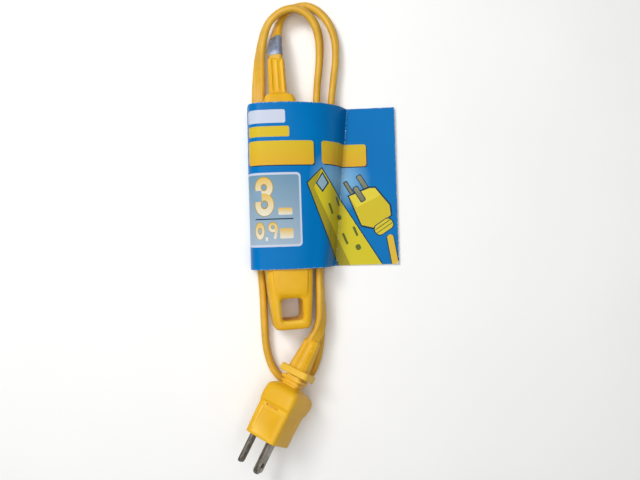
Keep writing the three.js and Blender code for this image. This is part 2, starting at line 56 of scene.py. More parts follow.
# ---- Places, as the frame has them: millimetres and degrees ----
BAR_PLACE = {"at": (-16.6, -51.8, 14.9), "roll": 10, "yaw": 3.44}
PLUG_PLACE = {"at": (-31.3, -114.2, 26), "pitch": -10, "roll": -28, "yaw": -26.5}
SLEEVE_PLACE = {"at": (0, 31.7, 0), "yaw": 1.9}
BAR_LENGTH = 137
BAR_RELIEF = 22  # length of the bar's relief
PLUG_RELIEF = 23  # length of the plug's relief

# The cord's route: x, y, z and how far its width is turned from standing on edge, in degrees.
ROUTE = (
    (-26.2, 107.9, 14.9, 100),
    (-26.45, 112.4, 14.2, 110),
    (-26.5, 118.6, 11.4, 128),
    (-25.8, 126.4, 7.4, 153),
    (-23.8, 133.2, 4.9, 164),
    (-19.4, 138.7, 4.3, 162),
    (-13, 141.6, 4.3, 160),
    (-6, 141.4, 4.3, 160),
    (0.6, 137.2, 4.3, 160),
    (5.9, 130, 4.3, 161),
    (8.9, 121, 4.4, 168),
    (9.3, 109, 4.7, 180),
    (7.6, 92, 5.1, 180),
    (5, 62, 5.1, 180),
    (2.2, 20, 5.1, 180),
    (0.5, -17, 5.1, 180),
    (0.9, -38, 5.1, 180),
    (0.9, -57, 5.1, 180),
    (-1.4, -72, 4.7, 180),
    (-6, -81.8, 4.3, 180),
    (-13.6, -86.6, 4.3, 180),
    (-21.8, -84.6, 4.3, 180),
    (-28.4, -77.4, 4.3, 180),
    (-32.2, -65.5, 4.8, 180),
    (-33.6, -50, 5.1, 180),
    (-34.4, -33, 5.1, 180),
    (-35.8, -17, 5.1, 176),
    (-36.2, -3, 4.7, 132),
    (-36.3, 12, 3.1, 92),
    (-36.6, 48, 3.1, 90),
    (-37.4, 80, 3.2, 90),
    (-37.1, 96, 4.5, 112),
    (-35.9, 112, 7.8, 150),
    (-31.9, 126.4, 11.6, 160),
    (-25, 134.2, 13.2, 158),
    (-16.4, 137.3, 13.4, 157),
    (-9.4, 135.2, 12.6, 157),
    (-3.8, 130, 10.6, 158),
    (-0.7, 121, 8.2, 164),
    (-0.4, 108, 6.3, 174),
    (-1.9, 90, 6.2, 180),
    (-2.2, 70, 8.8, 180),
    (-1.2, 42, 13.6, 180),
    (-0.6, 10, 13.8, 180),
    (-0.3, -17, 13.8, 172),
    (0.4, -34, 14, 162),
    (0.7, -46, 14.2, 146),
    (-1.2, -54.2, 14.5, 122),
    (-3.79, -59.03, 15.13, 114),
)

# ---- What is printed on the sleeve ----
# millimetres from the sleeve's middle, x toward the flap and y up the sleeve
GLOW = (12.5, 4)  # middle of the pale glow behind the drawings
GLOW_REACH = 19
DARK = "#173850"
SHADE = "#5d6a2a"
BRASS_INK = "#a88a2a"
PANEL_INKS = ("#6f93ab", "#9db1c2")
FIGURE = ("#d9b24c", "#dfdccb")
GREY = ("#8c8c70", "#6f745f")


def flat(colour_name):
    """The same colour above and below."""
    return (colour_name, colour_name)


# Flat shapes, the first undermost: a kind, its upper and lower colour, and its place.
# A box has its middle, size,
# turn and corner radius, a ring its middle, size and stroke, and a shape its corners anticlockwise.
PRINT = (
    ("box", flat("ink_pale"), (-29.4, 39.6), (21.6, 7.6), 0, 1.2),
    ("box", flat("ink_yellow"), (-28.2, 31), (23.4, 6), 0, 1),
    ("box", flat(DARK), (-21, 18.2), (37.4, 13.8), 0, 1.6),
    ("box", ("ink_yellow", "#d9a82e"), (-21.6, 18.8), (37.4, 13.8), 0, 1.6),
    ("box", flat(DARK), (15.8, 18.6), (27.2, 13.4), 0, 1.6),
    ("box", ("ink_yellow", "#d9a82e"), (15.2, 19.2), (27.2, 13.4), 0, 1.6),
    # the length panel
    ("box", flat("ink_pale"), (-27, -13.6), (32, 42.4), 0, 2.4),
    ("box", PANEL_INKS, (-27.8, -13.6), (31.6, 39.8), 0, 1.6),
    ("ring", flat(BRASS_INK), (-32, -0.8), (10.8, 12.2), 4.1),
    ("ring", flat(BRASS_INK), (-32, -10.6), (11.4, 13.6), 4.1),
    ("ring", FIGURE, (-32, -0.8), (10, 11.4), 3.2),
    ("ring", FIGURE, (-32, -10.6), (10.6, 12.8), 3.2),
    ("box", flat("#819eb4"), (-36, -5.7), (5.2, 6.4), 0, 0.6),
    ("box", FIGURE, (-20.2, -14.6), (8, 4), 0, 0.8),
    ("box", flat(DARK), (-26.6, -18.9), (21.6, 0.7), 0, 0.2),
    ("ring", flat(BRASS_INK), (-35, -25.6), (5.8, 10.2), 2.1),
    ("ring", FIGURE, (-35, -25.6), (5.2, 9.6), 1.5),
    ("box", flat(FIGURE[1]), (-31.2, -30.2), (1.2, 2.2), 0, 0.4),
    ("ring", flat(BRASS_INK), (-27.6, -23.6), (5.8, 6.2), 2.1),
    ("ring", FIGURE, (-27.6, -23.6), (5.2, 5.6), 1.5),
    ("box", FIGURE, (-25.9, -26.8), (1.5, 7), -12, 0.6),
    ("box", FIGURE, (-19.8, -27.2), (7.6, 5.8), 0, 0.8),
    # the drawing of an outlet bar
    ("shape", flat(DARK), (-7.8, 1.6), (10.2, -50), (38.6, -50), (1.4, 10.6)),
    ("shape", flat("#a3962c"), (-7, 1.4), (10.8, -50), (20, -50), (1.2, 9.8)),
    ("shape", flat("#cfc02c"), (-3.4, -1.4), (18.2, -50), (37.8, -50), (1.3, 9.6)),
    ("shape", flat("#e0d04a"), (-3.9, -1), (-2.9, -2.6), (19.2, -50), (17.8, -50)),
    ("shape", flat(DARK), (-2.4, 1.2), (1.4, -4), (5.4, 1.6), (1.6, 8)),
    ("shape", flat("#8fb0c2"), (-1.6, 1.4), (1.4, -2.8), (4.4, 1.6), (1.6, 6.6)),
    ("box", flat(SHADE), (6, -13.4), (1.3, 6.6), 18, 0.3),
    ("box", flat(SHADE), (10.4, -8.8), (1.3, 5.4), 18, 0.3),
    ("box", flat(SHADE), (11.2, -18.2), (2.6, 3.2), 18, 1.2),
    ("box", flat(SHADE), (14.4, -31.4), (1.5, 7.2), 22, 0.3),
    ("box", flat(SHADE), (20.8, -27), (1.5, 6.2), 22, 0.3),
    ("box", flat(SHADE), (22.2, -36.8), (3.2, 3.6), 22, 1.4),
    # the drawing of a plug
    ("box", flat(DARK), (43.2, -39.6), (5, 20), 9, 2),
    ("box", flat("#d9b53c"), (43.2, -39.6), (3.8, 20), 9, 1.8),
    ("box", flat(DARK), (18, -1.4), (2.8, 11.4), 30, 1),
    ("box", GREY, (18, -1.4), (1.7, 10.4), 30, 0.8),
    ("box", flat(DARK), (26.4, 2), (3.6, 12), 31, 1),
    ("box", GREY, (26.4, 2), (2.6, 11), 31, 0.8),
    (
        *("shape", flat(DARK)),
        *((16.6, -5.2), (24.2, -24.4), (33, -26.6), (43.6, -18), (43, -11.4), (34, 0), (29.6, 0)),
    ),
    (
        *("shape", flat("#cdb92e")),
        *((17.6, -5.6), (24.8, -23.4), (32.8, -25.4), (42.6, -17.8), (42, -11.8), (33.6, -1)),
    ),
    ("shape", flat("#dccb40"), (17.6, -5.6), (22, -12.6), (36.6, -5.6), (33.6, -1), (30, -1)),
    ("box", flat(DARK), (23.8, -4.4), (3.8, 10.6), 31, 1),
    ("box", GREY, (23.8, -4.4), (2.7, 9.6), 31, 0.8),
    ("box", flat(DARK), (38.2, -24.8), (13, 7.4), 33, 3),
    ("box", flat("#d3c035"), (38.2, -24.8), (11.8, 6.4), 33, 2.8),
    ("box", flat(SHADE), (37.6, -23.6), (11.4, 0.5), 33, 0.2),
    ("box", flat(SHADE), (38.6, -25.6), (11.4, 0.5), 33, 0.2),
)


# ---- What a user would change ----
def length(name, text, default):
    """A size in metres."""
    return bpy.props.FloatProperty(name=name, description=text, default=default, unit="LENGTH", precision=4)


def colour(name, text, default):
    """A colour as an sRGB hex value."""
    return bpy.props.StringProperty(name=name, description=text, default=default)


class CordSizes(bpy.types.PropertyGroup):
    """The flat cord and its marking band."""

    width: length("Width", "Across the three cores", 8.2 * MM)
    thickness: length("Thickness", "Across one core", 4.2 * MM)
    groove: length("Groove", "Depth of the grooves between the cores", 0.34 * MM)
    band: length("Band length", "Length of the foil band along the cord", 12.6 * MM)
    relief_ridge: length("Relief ridge", "Height of the ridges on the strain reliefs", 0.8 * MM)


class BarSizes(bpy.types.PropertyGroup):
    """The outlet bar."""

    handle_width: length("Handle width", "Across the handle end", 21.6 * MM)
    width: length("Width", "Across the widest place", 31 * MM)
    end_width: length("Cord end width", "Across the cord end", 15.6 * MM)
    thickness: length("Thickness", "From the back to the outlet face", 22.4 * MM)
    face_rise: length("Face rise", "Height of the outlet face over the handle", 1.2 * MM)
    outlets: bpy.props.IntProperty(name="Outlets", description="Number of outlets", default=3)
    pitch: length("Outlet pitch", "From one outlet to the next", 28 * MM)


class PlugSizes(bpy.types.PropertyGroup):
    """The grounded plug."""

    width: length("Width", "Across the blade face", 20 * MM)
    spacing: length("Blade spacing", "Between the two flat blades", 12.7 * MM)
    blade: length("Blade length", "How far the blades stand out", 17 * MM)
    pin: length("Pin length", "How far the ground pin stands out", 20.6 * MM)


class SleeveSizes(bpy.types.PropertyGroup):
    """The card sleeve."""

    height: length("Height", "Along the bar", 95.5 * MM)
    card: length("Card", "Thickness of the card", 0.42 * MM)
    rise: length("Rise", "Height over the bar", 28.7 * MM)
    flap: length("Flap reach", "From the middle to the flap's edge", 46.7 * MM)
    lift: length("Flap lift", "How far the flap's edge springs up", 1.6 * MM)


class Colours(bpy.types.PropertyGroup):
    """The object's colours."""

    pvc: colour("Moulded yellow", "Bar, plug and reliefs", "#e6af10")
    cord: colour("Cord yellow", "Cord sheath", "#daa71c")
    card: colour("Card blue", "Printed ground of the sleeve", "#0072b8")
    card_deep: colour("Card shade", "Darker blue of the folds", "#005f9c")
    board: colour("Board", "Bare card at the cut edges", "#b9b3a6")
    ink_yellow: colour("Yellow ink", "Bars printed on the sleeve", "#d2b52c")
    ink_pale: colour("Pale ink", "Panel and mark on the sleeve", "#c3cbdc")
    nickel: colour("Nickel", "Blades and pin", "#8f8981")
    foil: colour("Foil", "Marking band", "#9aa4b8")


class CordKit(bpy.types.PropertyGroup):
    """Every size and colour of the object."""

    cord: bpy.props.PointerProperty(type=CordSizes)
    bar: bpy.props.PointerProperty(type=BarSizes)
    plug: bpy.props.PointerProperty(type=PlugSizes)
    sleeve: bpy.props.PointerProperty(type=SleeveSizes)
    tint: bpy.props.PointerProperty(type=Colours)


def settings():
    """The scene's own property groups."""
    return bpy.context.scene.cord_kit


# ---- Shader and geometry node helpers ----
def add_node(tree, kind, links=None, **values):
    """Adds one node: values set its own properties, links its sockets, by a socket to join or a value."""
    node = tree.nodes.new(kind)
    for name, value in values.items():
        setattr(node, name, value)
    for place, value in (links or {}).items():
        if isinstance(value, bpy.types.NodeSocket):
            tree.links.new(value, node.inputs[place])
        else:
            node.inputs[place].default_value = value
    return node


def linear(hex_value):
    """An sRGB hex value as linear red, green, blue and an alpha of one."""
    shares = (int(hex_value[i : i + 2], 16) / 255 for i in (1, 3, 5))
    return (*(s / 12.92 if s <= 0.04045 else ((s + 0.055) / 1.055) ** 2.4 for s in shares), 1.0)


def blend(a, b, share):
    """The linear colour a share of the way from one hex value to another."""
    pair = [[int(v[i : i + 2], 16) for i in (1, 3, 5)] for v in (a, b)]
    return linear("#" + "".join(f"{round(x + (y - x) * share):02x}" for x, y in zip(*pair)))


def new_material(name):
    """A material with a Principled shader, given back with its tree, its shader and the coordinates."""
    made = bpy.data.materials.new(name)
    made.use_nodes = True
    tree = made.node_tree
    tree.nodes.clear()
    shader = add_node(tree, "ShaderNodeBsdfPrincipled")
    add_node(tree, "ShaderNodeOutputMaterial", {"Surface": shader.outputs["BSDF"]})
    return made, tree, shader, add_node(tree, "ShaderNodeTexCoord").outputs["Object"]


def pattern(tree, place, size_mm, detail, stretch=(1, 1, 1)):
    """A noise whose features measure size_mm, longer along an axis where stretch is over 1."""
    scales = [1 / s for s in stretch]
    across = add_node(tree, "ShaderNodeMapping", {"Vector": place, "Scale": scales}, vector_type="POINT")
    links = {"Vector": across.outputs["Vector"], "Scale": 1 / (size_mm * MM), "Detail": detail}
    return add_node(tree, "ShaderNodeTexNoise", links).outputs["Fac"]


def shade_between(tree, factor, low, high, start=0.3, end=0.7):
    """Mixes two colours as a factor goes from start to end."""
    ramp = add_node(tree, "ShaderNodeMapRange", {"Value": factor, "From Min": start, "From Max": end})
    mix = add_node(tree, "ShaderNodeMix", {"Factor": ramp.outputs["Result"]}, data_type="RGBA")
    for socket, value in ((6, low), (7, high)):
        if isinstance(value, bpy.types.NodeSocket):
            tree.links.new(value, mix.inputs[socket])
        else:
            mix.inputs[socket].default_value = value
    return mix.outputs[2]


def surface(tree, shader, colour_, roughness, *bumps):
    """Joins a finish to its shader: its colour, a factor with the roughness at its two ends, and its bumps.

    The first bump is undermost, and each is a height and how deep that is in millimetres.
    """
    tree.links.new(colour_, shader.inputs["Base Color"])
    factor, low, high = roughness
    spread = add_node(tree, "ShaderNodeMapRange", {"Value": factor, "To Min": low, "To Max": high})
    tree.links.new(spread.outputs["Result"], shader.inputs["Roughness"])
    links = {}
    for height, depth in bumps:
        links |= {"Height": height, "Distance": depth * MM, "Strength": 1.0}
        links["Normal"] = add_node(tree, "ShaderNodeBump", links).outputs["Normal"]
    tree.links.new(links["Normal"], shader.inputs["Normal"])


# ---- Materials ----
def moulded_pvc():
    """Moulded soft PVC: satin, a fine spark-eroded grain, slightly uneven colour, faint scuffs and a painted
    highlight on its edges.
    """
    tint = settings().tint.pvc
    made, tree, shader, place = new_material("moulded_soft_pvc")
    cloud = pattern(tree, place, 14, 3)
    body = shade_between(tree, cloud, blend(tint, "#8a5a10", 0.09), blend(tint, "#fff0a8", 0.05))
    # the grain is 0.25 mm on the real part; 0.5 mm is what shows at this size
    grain = pattern(tree, place, 0.5, 2)
    scuff = pattern(tree, place, 2.2, 4, stretch=(1, 4, 1))
    # painted highlight: convex edges and corners are drawn paler, where light catches them
    edge = add_node(tree, "ShaderNodeNewGeometry").outputs["Pointiness"]
    painted_edge_highlight = shade_between(tree, edge, body, blend(tint, "#ffe9a0", 0.4), 0.53, 0.62)
    surface(tree, shader, painted_edge_highlight, (scuff, 0.36, 0.56), (grain, 0.035), (cloud, 0.12))
    shader.inputs["IOR"].default_value = 1.53
    shader.inputs["Specular IOR Level"].default_value = 0.3
    return made


def extruded_pvc():
    """PVC sheath drawn through a die: satin, with faint lines along the cord and a talc bloom."""
    tint = settings().tint.cord
    made, tree, shader, place = new_material("extruded_pvc_sheath")
    # the sweep's own map: how far along the cord, and where on its section
    section = add_node(tree, "ShaderNodeAttribute", attribute_name="section").outputs["Vector"]
    along = add_node(tree, "ShaderNodeAttribute", attribute_name="along").outputs["Fac"]
    # die lines run nearly straight, so the map is pressed fifty times along the cord
    run = add_node(tree, "ShaderNodeMath", {0: along, 1: 0.02}, operation="MULTIPLY").outputs[0]
    shift = add_node(tree, "ShaderNodeCombineXYZ", {"Z": run}).outputs[0]
    drawn_map = add_node(tree, "ShaderNodeVectorMath", {0: section, 1: shift}, operation="ADD").outputs[0]
    lines = pattern(tree, drawn_map, 0.5, 3)
    cloud = pattern(tree, place, 9, 3)
    grain = pattern(tree, place, 0.6, 2)
    body = shade_between(tree, cloud, blend(tint, "#8c5a12", 0.12), blend(tint, "#fff2b0", 0.1))
    drawn = shade_between(tree, lines, body, blend(tint, "#b07414", 0.35), 0.52, 0.8)
    surface(tree, shader, drawn, (lines, 0.38, 0.58), (lines, 0.06), (grain, 0.03))
    shader.inputs["IOR"].default_value = 1.52
    return made


def nickel_plate():
    """Nickel plate on stamped brass: grey metal with draw lines along the blade and slight tarnish."""
    tint = settings().tint.nickel
    made, tree, shader, place = new_material("nickel_plated_brass")
    # draw lines run along the plug, which is turned from the frame's Y
    turn = (0, 0, math.radians(PLUG_PLACE["yaw"]))
    turned = add_node(tree, "ShaderNodeMapping", {"Vector": place, "Rotation": turn}, vector_type="TEXTURE")
    lines = pattern(tree, turned.outputs["Vector"], 0.35, 3, stretch=(1, 14, 1))
    stain = pattern(tree, place, 3.5, 4)
    metal = shade_between(tree, stain, blend(tint, "#4e4438", 0.6), blend(tint, "#b3aca2", 0.25))
    surface(tree, shader, metal, (lines, 0.22, 0.42), (lines, 0.02))
    shader.inputs["Metallic"].default_value = 1.0
    return made


def brass_strip():
    """Bare brass strip, stamped: warm metal with rolled lines and brown spots of oxide."""
    made, tree, shader, place = new_material("stamped_brass_strip")
    lines = pattern(tree, place, 0.3, 2, stretch=(1, 20, 1))
    oxide = pattern(tree, place, 2.5, 4)
    metal = shade_between(tree, oxide, linear("#c79a45"), linear("#8f6a2c"), 0.5, 0.8)
    surface(tree, shader, metal, (lines, 0.25, 0.4), (lines, 0.01))
    shader.inputs["Metallic"].default_value = 1.0
    return made


def plain_plastic(name, low, high, roughness):
    """A moulded or extruded plastic of one colour: slightly uneven, with a fine grain."""
    made, tree, shader, place = new_material(name)
    body = shade_between(tree, pattern(tree, place, 4, 3), linear(low), linear(high))
    grain = pattern(tree, place, 0.6, 2)
    surface(tree, shader, body, (grain, roughness - 0.08, roughness + 0.08), (grain, 0.02))
    return made


def marking_foil():
    """Aluminium foil: brushed grey-blue metal under a dulling lacquer, with shallow wrinkles."""
    tint = settings().tint.foil
    made, tree, shader, place = new_material("aluminium_foil")
    wrinkle = pattern(tree, place, 1.6, 3, stretch=(3, 1, 1))
    smear = pattern(tree, place, 4, 3)
    metal = shade_between(tree, smear, linear(tint), blend(tint, "#3a4353", 0.45))
    surface(tree, shader, metal, (wrinkle, 0.42, 0.6), (wrinkle, 0.12))
    shader.inputs["Metallic"].default_value = 0.5
    return made


def ink_box(tree, sheet, middle, size, turn, radius):
    """A mask, 1 inside a rounded rectangle of the sheet's millimetres."""
    local = add_node(
        tree,
        "ShaderNodeMapping",
        {"Vector": sheet, "Location": (*middle, 0), "Rotation": (0, 0, math.radians(turn))},
        vector_type="TEXTURE",
    )
    folded = add_node(tree, "ShaderNodeVectorMath", {0: local.outputs[0]}, operation="ABSOLUTE")
    core = (size[0] / 2 - radius, size[1] / 2 - radius, 0)
    past = add_node(tree, "ShaderNodeVectorMath", {0: folded.outputs[0], 1: core}, operation="SUBTRACT")
    outside = add_node(tree, "ShaderNodeVectorMath", {0: past.outputs[0], 1: (0, 0, 0)}, operation="MAXIMUM")
    reach = add_node(tree, "ShaderNodeVectorMath", {0: outside.outputs[0]}, operation="LENGTH")
    return add_node(
        tree, "ShaderNodeMath", {0: reach.outputs["Value"], 1: radius}, operation="LESS_THAN"
    ).outputs[0]


def ink_ring(tree, sheet, middle, size, stroke):
    """A mask, 1 on an oval ring of the sheet's millimetres."""
    local = add_node(
        tree,
        "ShaderNodeMapping",
        {"Vector": sheet, "Location": (*middle, 0), "Scale": (size[0] / 2, size[1] / 2, 1)},
        vector_type="TEXTURE",
    )
    reach = add_node(tree, "ShaderNodeVectorMath", {0: local.outputs[0]}, operation="LENGTH")
    share = stroke / size[0]
    links = {0: reach.outputs["Value"], 1: 1 - share, 2: share}
    return add_node(tree, "ShaderNodeMath", links, operation="COMPARE").outputs[0]


def ink_shape(tree, sheet, *corners):
    """A mask, 1 inside a convex shape whose corners run anticlockwise."""
    inside = None
    for (x0, y0), (x1, y1) in zip(corners, corners[1:] + corners[:1]):
        inward = (y0 - y1, x1 - x0, 0)
        side = add_node(tree, "ShaderNodeVectorMath", {0: sheet, 1: inward}, operation="DOT_PRODUCT")
        level = inward[0] * x0 + inward[1] * y0
        kept = add_node(
            tree, "ShaderNodeMath", {0: side.outputs["Value"], 1: level}, operation="GREATER_THAN"
        ).outputs[0]
        if inside:
            kept = add_node(tree, "ShaderNodeMath", {0: kept, 1: inside}, operation="MINIMUM").outputs[0]
        inside = kept
    return inside


INKS = {"box": ink_box, "ring": ink_ring, "shape": ink_shape}


def sleeve_card():
    """Coated board, offset printed: a silky blue ink, flat shapes over it, rubbed pale at the folds."""
    tint = settings().tint
    made, tree, shader, place = new_material("printed_coated_card")
    mottle = pattern(tree, place, 22, 3)
    # board fibre is 0.3 mm; drawn at 0.9 mm so that it shows
    fibre = pattern(tree, place, 0.9, 4, stretch=(1, 3, 1))
    rub = pattern(tree, place, 1.1, 4)
    sheet = add_node(
        tree,
        "ShaderNodeMapping",
        {
            "Vector": place,
            "Location": (Vector(SLEEVE_PLACE["at"]) - ORIGIN) * MM,
            "Rotation": (0, 0, math.radians(SLEEVE_PLACE["yaw"])),
            "Scale": (MM, MM, MM),
        },
        vector_type="TEXTURE",
    ).outputs[0]
    sheet = add_node(tree, "ShaderNodeVectorMath", {0: sheet, 1: (1, 1, 0)}, operation="MULTIPLY").outputs[0]
    height = add_node(tree, "ShaderNodeSeparateXYZ", {0: sheet}).outputs["Y"]
    glow = add_node(tree, "ShaderNodeVectorMath", {0: sheet, 1: (*GLOW, 0)}, operation="DISTANCE")
    ink = shade_between(tree, mottle, blend(tint.card, tint.card_deep, 0.2), linear(tint.card))
    ink = shade_between(tree, glow.outputs["Value"], blend(tint.card, "#e8f0f8", 0.6), ink, 1, GLOW_REACH)
    printed = ink
    for kind, colours, *shape in PRINT:
        upper, lower = (linear(getattr(tint, name, name)) for name in colours)
        wash = upper
        if upper != lower:
            middle, size = shape[0][1], shape[1][1]
            wash = shade_between(tree, height, lower, upper, middle - size / 2, middle + size / 2)
        printed = shade_between(tree, INKS[kind](tree, sheet, *shape), printed, wash, 0, 1)
    # the folded strip's own map: its printed side, its unprinted side and how rubbed it is
    front, bare, wear = (
        add_node(tree, "ShaderNodeAttribute", attribute_name=name).outputs["Fac"]
        for name in ("front", "bare", "wear")
    )
    ink = shade_between(tree, front, ink, printed, 0, 1)
    ink = shade_between(tree, fibre, ink, linear("#3f97cc"), 0.55, 7)
    rubbed = add_node(tree, "ShaderNodeMath", {0: wear, 1: rub}, operation="MULTIPLY").outputs[0]
    ink = shade_between(tree, rubbed, ink, linear("#cfdde6"), 0.42, 0.75)
    board = shade_between(tree, bare, ink, linear(tint.board), 0.4, 0.6)
    surface(tree, shader, board, (fibre, 0.26, 0.4), (fibre, 0.02), (mottle, 0.25))
    shader.inputs["Specular IOR Level"].default_value = 0.06
    return made


def studio_paper():
    """Plain pale floor: matt white card with barely uneven tone."""
    made, tree, shader, place = new_material("studio_floor")
    tone = shade_between(tree, pattern(tree, place, 120, 2), linear("#f7f7f6"), linear("#fbfbfa"))
    tree.links.new(tone, shader.inputs["Base Color"])
    shader.inputs["Roughness"].default_value = 0.8
    return made


MAKERS = {
    "pvc": moulded_pvc,
    "cord": extruded_pvc,
    "nickel": nickel_plate,
    "brass": brass_strip,
    "foil": marking_foil,
    "card": sleeve_card,
    "nylon": lambda: plain_plastic("moulded_nylon", "#cfc8b8", "#dcd6c8", 0.5),
    "black": lambda: plain_plastic("black_core_pvc", "#1b1b1e", "#29292c", 0.4),
    "white": lambda: plain_plastic("white_core_pvc", "#dedbd2", "#ece9e2", 0.42),
    "green": lambda: plain_plastic("green_core_pvc", "#256e3a", "#2f8a4a", 0.42),
}
_made = {}


def material(name):
    """A material by its short name, made once."""
    if name not in _made:
        _made[name] = MAKERS[name]()
    return _made[name]


# ---- Mesh helpers ----
def placed(at, pitch=0, roll=0, yaw=0):
    """The matrix from a group's own millimetres to the frame's metres."""
    turns = [Matrix.Rotation(math.radians(a), 4, axis) for a, axis in ((yaw, "Z"), (pitch, "X"), (roll, "Y"))]
    shift = Matrix.Translation((Vector(at) - ORIGIN) * MM)
    return shift @ turns[0] @ turns[1] @ turns[2] @ Matrix.Scale(MM, 4)


LAYOUT = placed((0, 0, 0))
BAR = placed(**BAR_PLACE)
PLUG = placed(**PLUG_PLACE)
SLEEVE = placed(**SLEEVE_PLACE)


def between(low, high, share):
    """The value a share of the way from low to high."""
    return low + (high - low) * share


def round_off(share):
    """How far a quarter round is drawn in, from 1 at its start to 0 at its end and past it."""
    return 1 - math.sqrt(max(0.0, 1 - (1 - min(share, 1)) ** 2))


def smooth(points, count):
    """Points along a smooth curve through the given ones, evenly spread along its stretches."""
    points = [Vector(p) for p in points]
    ends = [points[0] * 2 - points[1], *points, points[-1] * 2 - points[-2]]
    made = []
    for i in range(count + 1):
        place = i / count * (len(points) - 1)
        k = min(int(place), len(points) - 2)
        t = place - k
        a, b, c, d = ends[k : k + 4]
        made.append(
            0.5 * (2 * b + (c - a) * t + (2 * a - 5 * b + 4 * c - d) * t**2 + (3 * b - a - 3 * c + d) * t**3)
        )
    return made


def round_ring(y, half, low, high, radius, steps=8):
    """A ring in the plane y round a box with rounded corners, anticlockwise seen along +Y."""
    corners = (
        (half - radius, low + radius, -90),
        (half - radius, high - radius, 0),
        (radius - half, high - radius, 90),
        (radius - half, low + radius, 180),
    )
    return [
        Vector(
            (
                x + radius * math.cos(math.radians(start + 90 * i / steps)),
                y,
                z + radius * math.sin(math.radians(start + 90 * i / steps)),
            )
        )
        for x, z, start in corners
        for i in range(steps + 1)
    ]


def loft(rings):
    """A closed mesh through rings of equal length."""
    mesh = bmesh.new()
    rows = [[mesh.verts.new(p) for p in ring] for ring in rings]
    count = len(rows[0])
    for row, after in zip(rows, rows[1:]):
        for i in range(count):
            k = (i + 1) % count
            mesh.faces.new((row[i], row[k], after[k], after[i]))
    mesh.faces.new(list(reversed(rows[0])))
    mesh.faces.new(rows[-1])
    return mesh


def linked(name, data):
    """A new object of some mesh, curve, light or camera data, in the scene."""
    made = bpy.data.objects.new(name, data)
    bpy.context.collection.objects.link(made)
    return made


def to_object(mesh, name, matrix=None):
    """A bmesh, placed by a matrix where one is given, as an object in the scene."""
    if matrix:
        mesh.transform(matrix)
    bmesh.ops.remove_doubles(mesh, verts=mesh.verts, dist=1e-7)
    bmesh.ops.recalc_face_normals(mesh, faces=mesh.faces)
    data = bpy.data.meshes.new(name)
    mesh.to_mesh(data)
    mesh.free()
    return linked(name, data)


def modified(target, kind, **values):
    """Adds a modifier and sets its values."""
    modifier = target.modifiers.new(kind.lower(), kind)
    for name, value in values.items():
        setattr(modifier, name, value)


def baked(target):
    """The object's evaluated mesh in place of its own, with no modifiers left."""
    graph = bpy.context.evaluated_depsgraph_get()
    data = bpy.data.meshes.new_from_object(target.evaluated_get(graph), depsgraph=graph)
    if target.type != "MESH":
        name = target.name
        bpy.data.objects.remove(target)
        return linked(name, data)
    target.modifiers.clear()
    target.data = data
    return target


def cut(target, cutters, operation="DIFFERENCE"):
    """Joins or cuts the cutters, which are removed afterwards."""
    for cutter in cutters:
        modified(target, "BOOLEAN", object=cutter, operation=operation, solver="EXACT")
        target = baked(target)
        bpy.data.objects.remove(cutter)
    return target


def rounded(target, width_mm, angle, segments, sharp):
    """Rounds the edges sharper than an angle and shades the rest smooth."""
    modified(
        target,
        "BEVEL",
        width=width_mm * MM,
        segments=segments,
        limit_method="ANGLE",
        angle_limit=math.radians(angle),
        harden_normals=False,
    )
    return shaded(baked(target), sharp)


def shaded(target, sharp):
    """Smooth shading, sharp past an angle."""
    for polygon in target.data.polygons:
        polygon.use_smooth = True
    target.data.set_sharp_from_angle(angle=math.radians(sharp))
    return target


def finished(target, name, finish, node, body="root"):
    """Gives a piece its name, material, slot and body, and hides the frame node it stands for."""
    target.name = name
    target.data.materials.clear()
    target.data.materials.append(material(finish))
    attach(target, body)
    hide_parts(node)


def post(x, y, width, tall, radius, z0, z1, flare=0):
    """A rounded prism standing along Z over a place, wider all round by flare at its top."""
    rings = []
    for z, grow in ((z0, 0), (z1, flare)):
        ring = round_ring(0, width / 2 + grow, -tall / 2 - grow, tall / 2 + grow, radius + grow, 6)
        rings.append([Vector((x + p.x, y + p.z, z)) for p in ring])
    return loft(rings)


def block(half, y0, y1, z0, z1):
    """A box centred on x = 0."""
    return loft([round_ring(y, half, z0, z1, 0.2, 2) for y in (y0, y1)])


# ---- The cord's line ----
ROUTE_STEPS = 2400  # fine steps that the route's length is measured in
CORD_ROWS = 760
SECTION_POINTS = 44
CORD_IN_RELIEF = 3  # how far each end of the cord's surface runs into its relief


def cord_line():
    """Points along the cord, with the direction across its width, its travel and its length so far.

    All are in layout millimetres. The cord runs on into its relief at either end.
    """
    fine = smooth([p[:3] for p in ROUTE], ROUTE_STEPS)
    turns = [p[3] for p in ROUTE]
    reach = [0.0]
    for a, b in zip(fine, fine[1:]):
        reach.append(reach[-1] + (b - a).length)
    made = []
    k = 0
    for i in range(CORD_ROWS + 1):
        target = reach[-1] * i / CORD_ROWS
        while k < len(fine) - 2 and reach[k + 1] < target:
            k += 1
        share = (target - reach[k]) / max(reach[k + 1] - reach[k], 1e-9)
        point = fine[k].lerp(fine[k + 1], share)
        travel = (fine[min(k + 3, ROUTE_STEPS)] - fine[max(k - 2, 0)]).normalized()
        place = (k + share) / ROUTE_STEPS * (len(turns) - 1)
        n = min(int(place), len(turns) - 2)
        turn = math.radians(between(turns[n], turns[n + 1], place - n))
        side, rise = sides_of(travel)
        across = rise * math.cos(turn) + side * math.sin(turn)
        made.append((point, across, travel, target))
    for place, sign in ((0, -1), (-1, 1)):
        point, across, travel, target = made[place]
        end = (point + travel * sign * CORD_IN_RELIEF, across, travel, target + sign * CORD_IN_RELIEF)
        made.insert(0 if sign < 0 else len(made), end)
    return made


def sides_of(travel):
    """The level direction across a direction of travel, and the one square to both."""
    side = travel.cross(Vector((0, 0, 1))).normalized()
    return side, side.cross(travel)


